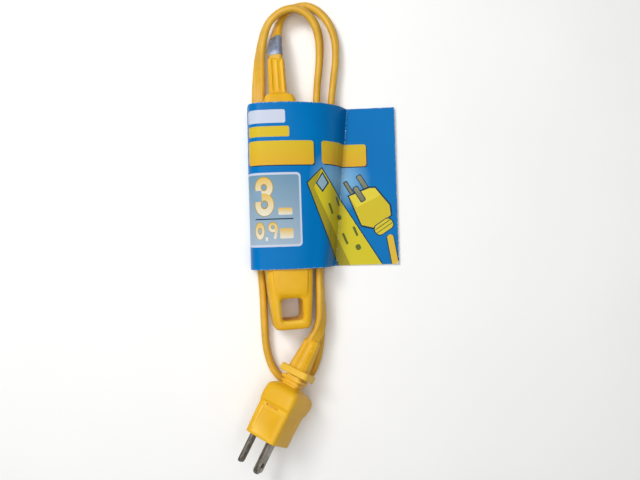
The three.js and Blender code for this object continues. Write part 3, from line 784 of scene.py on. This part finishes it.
def flat_section(width, thickness, groove):
    """A three-core cord's section: half circles at its edges and two shallow grooves on each broad side."""
    points = []
    half = width / 2
    core = width / 3
    edge = thickness / 2
    for i in range(SECTION_POINTS):
        angle = 2 * math.pi * i / SECTION_POINTS
        x = half * math.copysign(abs(math.cos(angle)) ** 0.72, math.cos(angle))
        past = max(0.0, abs(x) - (half - edge)) / edge
        height = edge * math.sqrt(max(0.0, 1 - past * past))
        dip = sum(math.exp(-(((x - place) / (core * 0.2)) ** 2)) for place in (-core / 2, core / 2))
        points.append((x, math.copysign(max(height - groove * dip, 0), math.sin(angle))))
    return points


# ---- Geometry node trees ----
def node_group(name, inputs):
    """An empty geometry node tree with named inputs, and its input and output nodes."""
    tree = bpy.data.node_groups.new(name, "GeometryNodeTree")
    tree.interface.new_socket("Geometry", in_out="INPUT", socket_type="NodeSocketGeometry")
    for label, kind in inputs.items():
        tree.interface.new_socket(label, in_out="INPUT", socket_type=kind)
    tree.interface.new_socket("Geometry", in_out="OUTPUT", socket_type="NodeSocketGeometry")
    return tree, add_node(tree, "NodeGroupInput").outputs, add_node(tree, "NodeGroupOutput")


def end_tree(tree, out, geometry, finish):
    """Ends a tree in real geometry with its material."""
    real = add_node(tree, "GeometryNodeRealizeInstances", {"Geometry": geometry})
    coated = add_node(tree, "GeometryNodeSetMaterial", {"Geometry": real.outputs[0], "Material": finish})
    tree.links.new(coated.outputs[0], out.inputs["Geometry"])


def sweep_tree():
    """Sweeps a section along a curve, and keeps how far along it and where on the section each point is."""
    tree, given, out = node_group("Sweep", {"Section": "NodeSocketObject", "Finish": "NodeSocketMaterial"})
    along = add_node(tree, "GeometryNodeSplineParameter")
    path = add_node(
        tree,
        "GeometryNodeStoreNamedAttribute",
        {"Geometry": given["Geometry"], "Name": "along", "Value": along.outputs["Length"]},
        data_type="FLOAT",
        domain="POINT",
    )
    held = add_node(tree, "GeometryNodeObjectInfo", {"Object": given["Section"]})
    section = add_node(
        tree,
        "GeometryNodeStoreNamedAttribute",
        {
            "Geometry": held.outputs["Geometry"],
            "Name": "section",
            "Value": add_node(tree, "GeometryNodeInputPosition").outputs[0],
        },
        data_type="FLOAT_VECTOR",
        domain="POINT",
    )
    swept = add_node(
        tree,
        "GeometryNodeCurveToMesh",
        {"Curve": path.outputs[0], "Profile Curve": section.outputs[0], "Fill Caps": True},
    )
    end_tree(tree, out, swept.outputs[0], given["Finish"])
    return tree


def row_tree():
    """Repeats a piece in a row."""
    inputs = {"Count": "NodeSocketInt", "Step": "NodeSocketVector", "Finish": "NodeSocketMaterial"}
    tree, given, out = node_group("Row", inputs)
    line = add_node(
        tree, "GeometryNodeMeshLine", {"Count": given["Count"], "Offset": given["Step"]}, mode="OFFSET"
    )
    row = add_node(
        tree, "GeometryNodeInstanceOnPoints", {"Points": line.outputs[0], "Instance": given["Geometry"]}
    )
    end_tree(tree, out, row.outputs[0], given["Finish"])
    return tree


def grown_by(target, tree, **inputs):
    """Runs a geometry node tree on an object and keeps the result as its own mesh."""
    modifier = target.modifiers.new(tree.name, "NODES")
    modifier.node_group = tree
    for item in tree.interface.items_tree:
        if item.item_type == "SOCKET" and item.in_out == "INPUT" and item.name in inputs:
            modifier[item.identifier] = inputs[item.name]
    return baked(target)


def curve_object(name, points, tilts=None, closed=False):
    """A curve of straight pieces through points, turned at each by its tilt."""
    data = bpy.data.curves.new(name, "CURVE")
    data.dimensions = "3D"
    data.twist_mode = "Z_UP"
    spline = data.splines.new("POLY")
    spline.points.add(len(points) - 1)
    for i, point in enumerate(points):
        spline.points[i].co = (*point, 1)
        spline.points[i].tilt = tilts[i] if tilts else 0
    spline.use_cyclic_u = closed
    return linked(name, data)


def swept_flat(tree, name, line, section, finish):
    """Sweeps a section in millimetres along a cord's line, its width along the line's own direction."""
    tilts = []
    for _, across, travel, _ in line:
        side, rise = sides_of(travel)
        tilts.append(math.atan2(across.dot(rise), across.dot(side)))
    for i in range(1, len(tilts)):
        tilts[i] -= round((tilts[i] - tilts[i - 1]) / (2 * math.pi)) * 2 * math.pi
    path = curve_object(name, [LAYOUT @ point for point, *_ in line], tilts)
    outline = curve_object(name + "_section", [(x * MM, y * MM, 0) for x, y in section], closed=True)
    made = grown_by(path, tree, Section=outline, Finish=material(finish))
    bpy.data.objects.remove(outline)
    return shaded(made, 50)


# ---- Stage ----
FLOOR_HALF = 900
CAMERA_HEIGHT = 400 * MM
CAMERA_LENS = 36.7  # millimetres, on a 36 mm sensor


class CORD_OT_stage(bpy.types.Operator):
    """Builds the pale floor, the soft lights and the camera"""

    bl_idname = "cord.stage"
    bl_label = "Stage"

    def execute(self, context):
        slab = post(0, 0, 2 * FLOOR_HALF, 2 * FLOOR_HALF, 40, -2, 0)
        floor = to_object(slab, "floor", Matrix.Scale(MM, 4))
        floor.data.materials.append(studio_paper())
        world = bpy.data.worlds.new("studio")
        world.use_nodes = True
        sky = world.node_tree.nodes["Background"]
        sky.inputs["Color"].default_value = linear("#fbfbfb")
        sky.inputs["Strength"].default_value = 0.2
        context.scene.world = world
        aim = Vector((0, -0.02, 0.01))
        # name, place and size in metres, and power in watts
        for name, place, size, power in (
            ("key", (-0.3, 0.26, 0.6), 0.22, 2.4),
            ("fill", (-0.35, -0.35, 0.6), 0.6, 0.5),
            ("top", (-0.04, 0, 0.9), 0.7, 4.2),
        ):
            lamp = bpy.data.lights.new(name, "AREA")
            lamp.size = size
            lamp.energy = power
            holder = linked(name, lamp)
            holder.location = place
            holder.rotation_euler = (aim - holder.location).to_track_quat("-Z", "Y").to_euler()
        camera = linked("camera", bpy.data.cameras.new("camera"))
        camera.data.lens = CAMERA_LENS
        camera.location = (-ORIGIN.x * MM, -ORIGIN.y * MM, CAMERA_HEIGHT)
        context.scene.camera = camera
        context.scene.view_settings.view_transform = "Standard"
        return {"FINISHED"}


# ---- Cord ----
BAND_FROM = 0.8  # from the relief's tip to the foil band
BAND_WRAP = 0.5  # what the foil adds to the cord's width and thickness


class CORD_OT_cord(bpy.types.Operator):
    """Builds the flat three-core cord and its foil band"""

    bl_idname = "cord.cord"
    bl_label = "Cord"

    def execute(self, context):
        sizes = settings().cord
        width, thickness, groove = (v / MM for v in (sizes.width, sizes.thickness, sizes.groove))
        line = cord_line()
        tree = sweep_tree()
        cord = swept_flat(tree, "cord", line, flat_section(width, thickness, groove), "cord")
        finished(cord, "cord_sheath", "cord", "power_cord")

        span = [row for row in line if BAND_FROM <= row[3] <= BAND_FROM + sizes.band / MM]
        section = flat_section(width + BAND_WRAP, thickness + BAND_WRAP, groove * 0.4)
        band = swept_flat(tree, "band", span, section, "foil")
        wavy(band, 0.1, 2.6)
        finished(band, "foil_band", "foil", "cord_label")
        return {"FINISHED"}


def wavy(target, height_mm, size_mm):
    """Moves a surface in and out in soft waves."""
    for vertex in target.data.vertices:
        u, v, w = (c / (size_mm * MM) for c in vertex.co)
        wave = math.sin(u * 2.1 + w) * math.sin(v * 3.3 - w * 1.7)
        vertex.co += vertex.normal * wave * height_mm * MM


# ---- Outlet bar ----
BAR_CORNER = 3.4
BAR_END = {"pull": 1.6, "over": 2.4}  # how far the ends are drawn in, over their last millimetres
FACE = {"from": 22, "to": 121, "inset": 3.2}
HANG_HOLE = {"width": 12.6, "length": 12.8, "from": 5.2, "radius": 2.4, "lip": 1.6}
OUTLET_FIRST = 40
OUTLET_DEPTH = 8
SLOT_SPACING = 12.7
GROUND_OFFSET = 11.9
# the hollows for the contacts and the wires: half width, y from and to, z from and to
BAR_HOLLOWS = ((11.5, 26.7, 116.2, -9.7, 7.8), (8.4, 115.9, 126, -8.8, 3), (6.2, 124.9, 134, -5, 2.4))
BORE = (3.8, 1.35)  # half width and half depth of the wires' bore
RELIEF_GAP = 0.3
SLOT = {"width": 2.4, "line": 6.8, "neutral": 8.2, "radius": 0.25}
GROUND_HOLE = {"width": 5.4, "length": 6, "radius": 2.4}
LEAD_IN = {"deep": 0.45, "flare": 0.9}


def bar_outline():
    """Places along the bar and its half width there."""
    sizes = settings().bar
    narrow, wide, end = (v / MM for v in (sizes.handle_width, sizes.width, sizes.end_width))
    stations = (
        (0, narrow - 1.8),
        (0.02, narrow),
        (0.16, between(narrow, wide, 0.42)),
        (0.36, between(narrow, wide, 0.76)),
        (0.66, wide),
        (0.82, between(end, wide, 0.92)),
        (0.92, between(end, wide, 0.5)),
        (1, end),
    )
    curve = smooth([(share * BAR_LENGTH, width / 2, 0) for share, width in stations], 84)
    return [(p.x, p.y) for p in curve]


class CORD_OT_bar(bpy.types.Operator):
    """Builds the outlet bar with its face, hang hole, outlets and relief"""

    bl_idname = "cord.bar"
    bl_label = "Outlet bar"

    def execute(self, context):
        sizes = settings().bar
        low = -sizes.thickness / MM / 2
        high = sizes.thickness / MM / 2
        deck = high - sizes.face_rise / MM
        outline = bar_outline()
        rings = []
        for y, half in outline:
            pull = BAR_END["pull"] * round_off(min(y, BAR_LENGTH - y) / BAR_END["over"])
            rings.append(round_ring(y, half - pull, low + pull, deck - pull, BAR_CORNER, 7))
        hull = to_object(loft(rings), "outlet_bar")
        # the face's sides slope, and its handle end slopes down over a few millimetres
        face_rings = []
        for y, half in outline:
            if FACE["from"] - 4 <= y <= FACE["to"] + 2:
                rise = min((y - FACE["from"] + 4) / 5, (FACE["to"] + 2 - y) / 3, 1)
                top = deck + (high - deck) * max(rise, 0.02)
                face_rings.append(round_ring(y, half - FACE["inset"], deck - 2.4, top, 1.1, 5))
        face = to_object(loft(face_rings), "face")
        hull = cut(hull, [face], "UNION")
        hollows = [to_object(block(*row), "hollow") for row in BAR_HOLLOWS]
        hollows.append(to_object(block(BORE[0], 133, 138, -BORE[1], BORE[1]), "bore"))
        middle = HANG_HOLE["from"] + HANG_HOLE["length"] / 2
        shape = (0, middle, HANG_HOLE["width"], HANG_HOLE["length"], HANG_HOLE["radius"])
        lip = HANG_HOLE["lip"]
        hollows.append(to_object(post(*shape, low - 5, high + 5), "hole"))
        hollows.append(to_object(post(*shape, deck - lip, deck + lip, 2 * lip), "hole_lip"))
        hollows += self.outlet_cutters(sizes, high)
        hull = cut(hull, hollows)
        hull.data.transform(BAR)
        hull = rounded(hull, 0.35, 40, 3, 36)
        finished(hull, "outlet_bar", "pvc", "outlet_body")

        guard = relief_object(BAR_LENGTH + RELIEF_GAP, BAR_RELIEF - RELIEF_GAP, (10.4, 8.4), BAR)
        finished(guard, "outlet_relief", "pvc", "outlet_strain_relief")
        return {"FINISHED"}

    def outlet_cutters(self, sizes, high):
        """The slots and ground holes, one outlet's repeated along the bar, each with a small lead-in."""
        made = []
        inputs = {"Count": sizes.outlets, "Step": (0, sizes.pitch / MM, 0), "Finish": material("pvc")}
        shapes = (
            (-SLOT_SPACING / 2, OUTLET_FIRST, SLOT["width"], SLOT["line"], SLOT["radius"]),
            (SLOT_SPACING / 2, OUTLET_FIRST, SLOT["width"], SLOT["neutral"], SLOT["radius"]),
            (0, OUTLET_FIRST + GROUND_OFFSET, *GROUND_HOLE.values()),
        )
        lead = LEAD_IN["deep"]
        tree = row_tree()
        for shape in shapes:
            mouth = (high - lead, high + lead, LEAD_IN["flare"])
            for z0, z1, flare in ((high - OUTLET_DEPTH, high + 2, 0), mouth):
                one = to_object(post(*shape, z0, z1, flare), "outlet_cutter")
                made.append(grown_by(one, tree, **inputs))
        return made


# ---- Reliefs ----
RIDGES = 3
RELIEF_STEPS = 34
RELIEF_LIP = 1.4  # what the relief's tip adds to the cord's width and thickness


def relief_object(start, reach, base, matrix):
    """A tapered relief with lengthwise ridges on its broad sides, bored for the wires."""
    sizes = settings().cord
    tip = (sizes.width / MM + RELIEF_LIP, sizes.thickness / MM + RELIEF_LIP)
    rings = []
    for i in range(RELIEF_STEPS + 1):
        share = i / RELIEF_STEPS
        half, depth = (between(b, t, share) / 2 for b, t in zip(base, tip))
        pull = 0.5 * round_off((1 - share) * reach / 0.9)
        # the ridges run out near both ends
        ridge = sizes.relief_ridge / MM * max(min(share / 0.12, (1 - share) / 0.1, 1), 0)
        plain = round_ring(start + reach * share, half - pull, pull - depth, depth - pull, 2, 12)
        ring = []
        for a, b in zip(plain, plain[1:] + plain[:1]):
            for k in range(4):
                point = a.lerp(b, k / 4)
                broad = max(0.0, 1 - (abs(point.x) / (half - 0.6)) ** 6)
                wave = max(0.0, math.cos(point.x / half * math.pi * RIDGES * 0.94)) ** 2.2
                if abs(point.z) > 1:
                    point.z += math.copysign(ridge * wave * broad, point.z)
                ring.append(point)
        rings.append(ring)
    bore = to_object(block(BORE[0], start - 1, start + reach + 1, -BORE[1], BORE[1]), "bore")
    made = cut(to_object(loft(rings), "relief"), [bore])
    made.data.transform(matrix)
    return shaded(made, 42)


# ---- Plug ----
# Places along the plug, from its blade face: y, what its half width adds, lowest z, highest z, corner radius.
PLUG_STATIONS = (
    (0, -0.9, -12.1, 8.6, 2.2),
    (0.5, -0.3, -12.7, 9.2, 2.4),
    (1.4, 0, -13, 9.5, 2.4),
    (12, 0.2, -13, 9.5, 2.4),
    (18, 0.3, -13.3, 9.5, 2.4),
    (19.6, 0.45, -14.2, 9.7, 2.5),
    (20.8, 0.6, -15.4, 10.5, 2.6),
    (24.6, 0.7, -17.6, 10.6, 2.8),
    (27, 0.6, -18.3, 10.5, 3),
    (29, 0.35, -17.2, 10.1, 3),
    (30.6, -0.5, -14.2, 9.2, 3),
    (31.8, -2.2, -9.9, 7.6, 2.6),
    (33, -4.2, -5.8, 5.6, 2.4),
)
PLUG_FACES = {1: 9.5, -1: -13}  # height of the upper and lower broad side
PLUG_STEPS = 96
# half width, y from and to, z from and to
PLUG_HOLLOWS = ((8.3, -1, 9.8, -11.7, 8.3), (7.8, 9.5, 26, -11.2, 6.9), (5.5, 25, 31.6, -6.4, 3))
NECK = {"half": 5.3, "depth": 4.8, "corner": 2.4}
# the neck and its two collars: y and what it adds to the neck there
NECK_ROWS = (
    ((31.5, 0), (39, 0)),
    ((34, 0.2), (34.3, 0.7), (35, 0.7), (35.3, 0.2)),
    ((36.2, 0.9), (36.6, 1.4), (37.8, 1.4), (38.2, 0.9)),
)
FLANGE = {"half": 9.5, "depth": 7.5, "from": 39.3, "to": 43.6, "edge": 0.5}
PANEL = {"from": 1.6, "to": 16.4, "side": 4.2, "depth": 0.7}
# the grip's finger slit: half width, middle, y from and to
SLIT = {"half": 4.2, "at": -0.75, "from": 18, "to": 18.9, "depth": 2.1}
BLADE_Z = 3.5
PIN_Z = BLADE_Z - GROUND_OFFSET
BLADES = {"line_blade": (-0.5, 6.35), "neutral_blade": (0.5, 7.9)}  # share of the spacing, and width
BLADE = {"thick": 1.5, "nose": 1.9, "tail": 13, "edge": 0.22, "hole": 1.5, "hole_from_tip": 4.2}
BRIDGE = (8, 0.25, 9.5, -11.35, 8.25)  # half width, y from and to, z from and to
PIN_RADIUS = 4.75 / 2


class CORD_OT_plug(bpy.types.Operator):
    """Builds the moulded plug, its blades, ground pin and relief"""

    bl_idname = "cord.plug"
    bl_label = "Plug"

    def execute(self, context):
        sizes = settings().plug
        half = sizes.width / MM / 2
        curve = smooth([(y, grow, low) for y, grow, low, _, _ in PLUG_STATIONS], PLUG_STEPS)
        tops = smooth([(y, high, corner) for y, _, _, high, corner in PLUG_STATIONS], PLUG_STEPS)
        rings = [
            round_ring(a.x, half + a.y, a.z, b.y, min(b.z, half + a.y - 0.5)) for a, b in zip(curve, tops)
        ]
        body = to_object(loft(rings), "plug_housing")
        wide, deep, corner = NECK.values()
        for rows in NECK_ROWS:
            rings = [round_ring(y, wide + g, -deep - g, deep + g, corner) for y, g in rows]
            body = cut(body, [to_object(loft(rings), "collar")], "UNION")
        body = cut(body, self.panel_cutters(half))
        hollows = [to_object(block(*row), "hollow") for row in PLUG_HOLLOWS]
        hollows.append(to_object(block(BORE[0], 29.5, 40, -BORE[1], BORE[1]), "bore"))
        body = cut(body, hollows)
        body.data.transform(PLUG)
        body = rounded(body, 0.3, 34, 3, 40)
        finished(body, "plug_housing", "pvc", "plug_body")

        finished(self.bridge(sizes.spacing / MM), "blade_bridge_moulded", "pvc", "blade_bridge")

        guard = relief_object(FLANGE["from"], PLUG_RELIEF, (12.4, 9.6), PLUG)
        wide, deep, start, end, edge = FLANGE.values()
        flange_rings = [
            round_ring(y, wide - pull, pull - deep, deep - pull, 3)
            for y, pull in ((start, edge), (start + edge, 0), (end - edge, 0), (end, edge))
        ]
        bore = to_object(block(BORE[0], 38, 45, -BORE[1], BORE[1]), "bore")
        flange = cut(to_object(loft(flange_rings), "flange"), [bore])
        flange.data.transform(PLUG)
        guard = shaded(cut(guard, [flange], "UNION"), 42)
        finished(guard, "plug_relief", "pvc", "plug_strain_relief")

        for name, (share, width) in BLADES.items():
            made = blade_object(share * sizes.spacing / MM, width, sizes.blade / MM)
            finished(made, name + "_plated", "nickel", name)
        finished(pin_object(sizes.pin / MM), "ground_pin_plated", "nickel", "ground_pin")
        return {"FINISHED"}

    def panel_cutters(self, half):
        """The sunk panels on both broad sides, deepest at their upper edge, and the finger slit over one."""
        made = []
        for side, face in PLUG_FACES.items():
            rings = []
            for y, sink in ((PANEL["from"], 0.05), (PANEL["to"], PANEL["depth"])):
                low, high = sorted((face - side * sink, face + side * 2))
                rings.append(round_ring(y, half - PANEL["side"], low, high, 0.2, 3))
            made.append(to_object(loft(rings), "panel"))
        top = PLUG_FACES[1]
        slit = block(SLIT["half"], SLIT["from"], SLIT["to"], top - SLIT["depth"], top + 2.5)
        made.append(to_object(slit, "slit", Matrix.Translation((SLIT["at"], 0, 0))))
        return made

    def bridge(self, spacing):
        """The block that holds the blades, seen as the middle of the blade face."""
        ends = (BRIDGE[1] - 1.25, BRIDGE[2] + 1)
        holes = [
            (share * spacing, BLADE_Z, 1.0, width / 2 + 0.25, 0.2, 2)
            for share, width in BLADES.values()
        ]
        holes.append((0, PIN_Z, 2.6, 2.6, 2.58, 8))
        cutters = []
        for x, z, wide, deep, corner, steps in holes:
            hole = loft([round_ring(y, wide, -deep, deep, corner, steps) for y in ends])
            cutters.append(to_object(hole, "hole", Matrix.Translation((x, 0, z))))
        body = cut(to_object(block(*BRIDGE), "bridge"), cutters)
        body.data.transform(PLUG)
        return rounded(body, 0.25, 40, 2, 40)


def blade_object(x, width, reach):
    """A stamped blade: rounded nose, hole near its tip and edges broken all round."""
    half = width / 2
    nose = BLADE["nose"]
    outline = [(-half, BLADE["tail"]), (-half, nose - reach)]
    outline += [
        (-half + nose - nose * math.cos(a), nose - reach - nose * math.sin(a))
        for a in (math.pi / 2 * k / 8 for k in range(1, 9))
    ]
    outline += [(-px, py) for px, py in reversed(outline)]
    hole = [
        (BLADE["hole"] * math.cos(a), BLADE["hole_from_tip"] - reach + BLADE["hole"] * math.sin(a))
        for a in (2 * math.pi * k / 28 for k in range(28))
    ]
    data = bpy.data.curves.new("blade", "CURVE")
    data.dimensions = "2D"
    data.fill_mode = "BOTH"
    data.bevel_depth = BLADE["edge"]
    data.bevel_resolution = 2
    data.extrude = BLADE["thick"] / 2 - BLADE["edge"]
    data.offset = -BLADE["edge"]
    for row in (outline, hole):
        spline = data.splines.new("POLY")
        spline.points.add(len(row) - 1)
        for place, (px, py) in zip(spline.points, row):
            place.co = (px, py, 0, 1)
        spline.use_cyclic_u = True
    made = baked(linked("blade", data))
    mesh = bmesh.new()
    mesh.from_mesh(made.data)
    bpy.data.objects.remove(made)
    stood = Matrix.Translation((x, 0, BLADE_Z)) @ Matrix.Rotation(math.radians(90), 4, "Y")
    return shaded(to_object(mesh, "blade", PLUG @ stood), 35)


def pin_object(reach):
    """The ground pin: a turned rod with a rounded nose."""
    # share of the radius, and place along the pin: the nose from its tip, then the shank into the plug
    nose = ((0.06, 0), (0.35, 0.05), (0.62, 0.35), (0.86, 1), (0.97, 1.8), (1, 2.7))
    profile = [(share, y - reach) for share, y in nose] + [(1, 0), (1, 12.6), (0.9, 13)]
    rings = [
        [
            Vector((PIN_RADIUS * share * math.cos(a), y, PIN_Z + PIN_RADIUS * share * math.sin(a)))
            for a in (2 * math.pi * k / 40 for k in range(40))
        ]
        for share, y in profile
    ]
    return shaded(to_object(loft(rings), "pin", PLUG), 40)


# ---- Sleeve ----
SLEEVE_BOTTOM = {"left": -42.4, "crease": 7.2, "shoulder": 20}
SLEEVE_TOP = {"left": -41.6, "crease": 17.2, "shoulder": 12.6}
PLY_GAP = 0.46  # from one ply's middle to the other's in the flap
PLY_LOW = 0.3  # height of the lower ply's middle
SLEEVE_ROWS = 56


def sleeve_path(share):
    """The folded strip's middle line at a share of the sleeve's height, and where its outer side is front."""
    sizes = settings().sleeve
    left, crease, shoulder = (between(SLEEVE_BOTTOM[k], SLEEVE_TOP[k], share) for k in SLEEVE_TOP)
    rise = sizes.rise / MM
    flap = sizes.flap / MM
    lift = sizes.lift / MM
    top_ply = PLY_LOW + PLY_GAP

    def raised(x, z):
        reach = max(0.0, (x - crease) / (flap - crease))
        return (x, z + lift * reach**2.2 * (0.75 + 0.25 * share))

    lower = [raised(between(flap, crease, k / 20), PLY_LOW) for k in range(20)]
    lower += [(between(crease, left + 0.8, k / 24), PLY_LOW) for k in range(25)]
    fold = [(left + 0.25, PLY_LOW + 0.1), (left - 0.12, PLY_LOW + 0.5), (left - 0.26, PLY_LOW + 1.4)]
    over = smooth(
        [
            (left - 0.26, 0, 3),
            (left - 0.26, 0, 5.2),
            (between(left, crease, 0.015), 0, rise - 7.7),
            (between(left, crease, 0.08), 0, rise - 1.5),
            (between(left, crease, 0.2), 0, rise + 0.26),
            (between(left, crease, 0.45), 0, rise - 0.5),
            (between(left, crease, 0.72) + 0.15, 0, between(shoulder, rise, 0.62) + 0.2),
            (between(left, crease, 0.9) + 0.24, 0, shoulder + 0.1),
            (crease + 0.2, 0, top_ply + 0.5),
        ],
        72,
    )
    upper = [raised(between(crease + 0.8, flap, k / 20), top_ply) for k in range(21)]
    path = lower + fold + [(p.x, p.z) for p in over] + upper
    front_from = len(lower) + len(fold)
    creases = {"fold": len(lower) + 1, "crease": front_from + len(over)}
    return path, front_from, creases


class CORD_OT_sleeve(bpy.types.Operator):
    """Builds the card sleeve: one strip folded round the cord, its two plies glued into a flap"""

    bl_idname = "cord.sleeve"
    bl_label = "Card sleeve"

    def execute(self, context):
        sizes = settings().sleeve
        half_card = sizes.card / MM / 2
        height = sizes.height / MM
        vertices, faces, front, bare, wear = [], [], [], [], []
        for j in range(SLEEVE_ROWS + 1):
            share = j / SLEEVE_ROWS
            path, front_from, creases = sleeve_path(share)
            y = (share - 0.5) * height
            count = len(path)
            for i, (x, z) in enumerate(path):
                ax, az = path[max(i - 1, 0)]
                bx, bz = path[min(i + 1, count - 1)]
                run = math.hypot(bx - ax, bz - az) or 1
                nx, nz = (az - bz) / run, (bx - ax) / run
                # soft waves in the card where nothing holds it
                free = front_from + 14 < i < front_from + 66
                wave = 0.22 * (math.sin(y / 13 + i * 0.11) * math.sin(i * 0.21 + 0.7) - 1) if free else 0
                # how rubbed the card is, by its distance in millimetres from a fold or an edge
                nearest = min(
                    abs(i - creases["fold"]) * 0.8,
                    abs(i - creases["crease"]) * 0.9,
                    y + height / 2,
                    height / 2 - y,
                    (count - 1 - i) * 1.6,
                )
                for reach in (wave + half_card, wave - half_card):
                    vertices.append((x + nx * reach, y, z + nz * reach))
                    wear.append(max(0.0, 1 - nearest / 1.3))

        def at(j, i, side):
            return (j * count + i) * 2 + side

        def add(corners, printed, board, flip=False):
            faces.append(corners[::-1] if flip else corners)
            front.append(float(printed))
            bare.append(float(board))

        last = count - 1
        for j in range(SLEEVE_ROWS):
            for i in range(last):
                outside = (at(j, i, 0), at(j, i + 1, 0), at(j + 1, i + 1, 0), at(j + 1, i, 0))
                add(outside, i >= front_from, False)
                # the inside of the strip is unprinted board, as the cut edges are
                add((at(j, i, 1), at(j + 1, i, 1), at(j + 1, i + 1, 1), at(j, i + 1, 1)), False, True)
            for i in (0, last):
                add((at(j, i, 0), at(j + 1, i, 0), at(j + 1, i, 1), at(j, i, 1)), False, True, i == last)
        for j in (0, SLEEVE_ROWS):
            for i in range(last):
                add((at(j, i, 0), at(j, i + 1, 0), at(j, i + 1, 1), at(j, i, 1)), False, True, j == 0)
        data = bpy.data.meshes.new("sleeve")
        data.from_pydata(vertices, [], faces)
        fields = (("front", "FACE", front), ("bare", "FACE", bare), ("wear", "POINT", wear))
        for name, domain, values in fields:
            data.attributes.new(name, "FLOAT", domain).data.foreach_set("value", values)
        data.transform(SLEEVE)
        mesh = bmesh.new()
        mesh.from_mesh(data)
        bmesh.ops.recalc_face_normals(mesh, faces=mesh.faces)
        mesh.to_mesh(data)
        mesh.free()
        made = shaded(linked("sleeve", data), 50)
        finished(made, "card_sleeve_folded", "card", "card_sleeve", "sleeve")
        return {"FINISHED"}


# ---- The inside, kept from the frame ----
INSIDE = {
    "nylon": ("contact_carrier", "carrier_cover"),
    "brass": ("line_contact_bar", "neutral_contact_bar", "ground_contact_bar"),
    "black": ("outlet_line_wire", "plug_line_wire"),
    "white": ("outlet_neutral_wire", "plug_neutral_wire"),
    "green": ("outlet_ground_wire", "plug_ground_wire"),
}


class CORD_OT_inside(bpy.types.Operator):
    """Finishes the contacts, their carrier and the wires inside the housings"""

    bl_idname = "cord.inside"
    bl_label = "Contacts and wires"

    def execute(self, context):
        for finish, names in INSIDE.items():
            for name in names:
                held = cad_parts[name].data.materials
                held.clear()
                held.append(material(finish))
        return {"FINISHED"}


# ---- An empty step, named for the cord's facts ----
class CORD_OT_declare(bpy.types.Operator):
    """An empty step: it states nothing about the cord's length, exit or far end"""

    bl_idname = "cord.declare"
    bl_label = "Cord facts"

    def execute(self, context):
        return {"FINISHED"}


OPERATORS = (
    CORD_OT_stage,
    CORD_OT_cord,
    CORD_OT_plug,
    CORD_OT_bar,
    CORD_OT_sleeve,
    CORD_OT_inside,
    CORD_OT_declare,
)


class CORD_PT_panel(bpy.types.Panel):
    """Lists the steps that build the extension cord"""

    bl_idname = "CORD_PT_panel"
    bl_label = "Extension cord"
    bl_space_type = "VIEW_3D"
    bl_region_type = "UI"
    bl_category = "Cord"

    def draw(self, context):
        for operator in OPERATORS:
            self.layout.operator(operator.bl_idname)


CLASSES = (CordSizes, BarSizes, PlugSizes, SleeveSizes, Colours, CordKit, *OPERATORS, CORD_PT_panel)


def register():
    """Registers the classes and the scene's property groups."""
    for cls in CLASSES:
        bpy.utils.register_class(cls)
    bpy.types.Scene.cord_kit = bpy.props.PointerProperty(type=CordKit)


def unregister():
    """Removes what register added."""
    del bpy.types.Scene.cord_kit
    for cls in reversed(CLASSES):
        bpy.utils.unregister_class(cls)


def main():
    """Builds everything in order."""
    register()
    for operator in OPERATORS:
        getattr(bpy.ops.cord, operator.bl_idname.split(".")[1])()


if __name__ == "__main__":
    main()
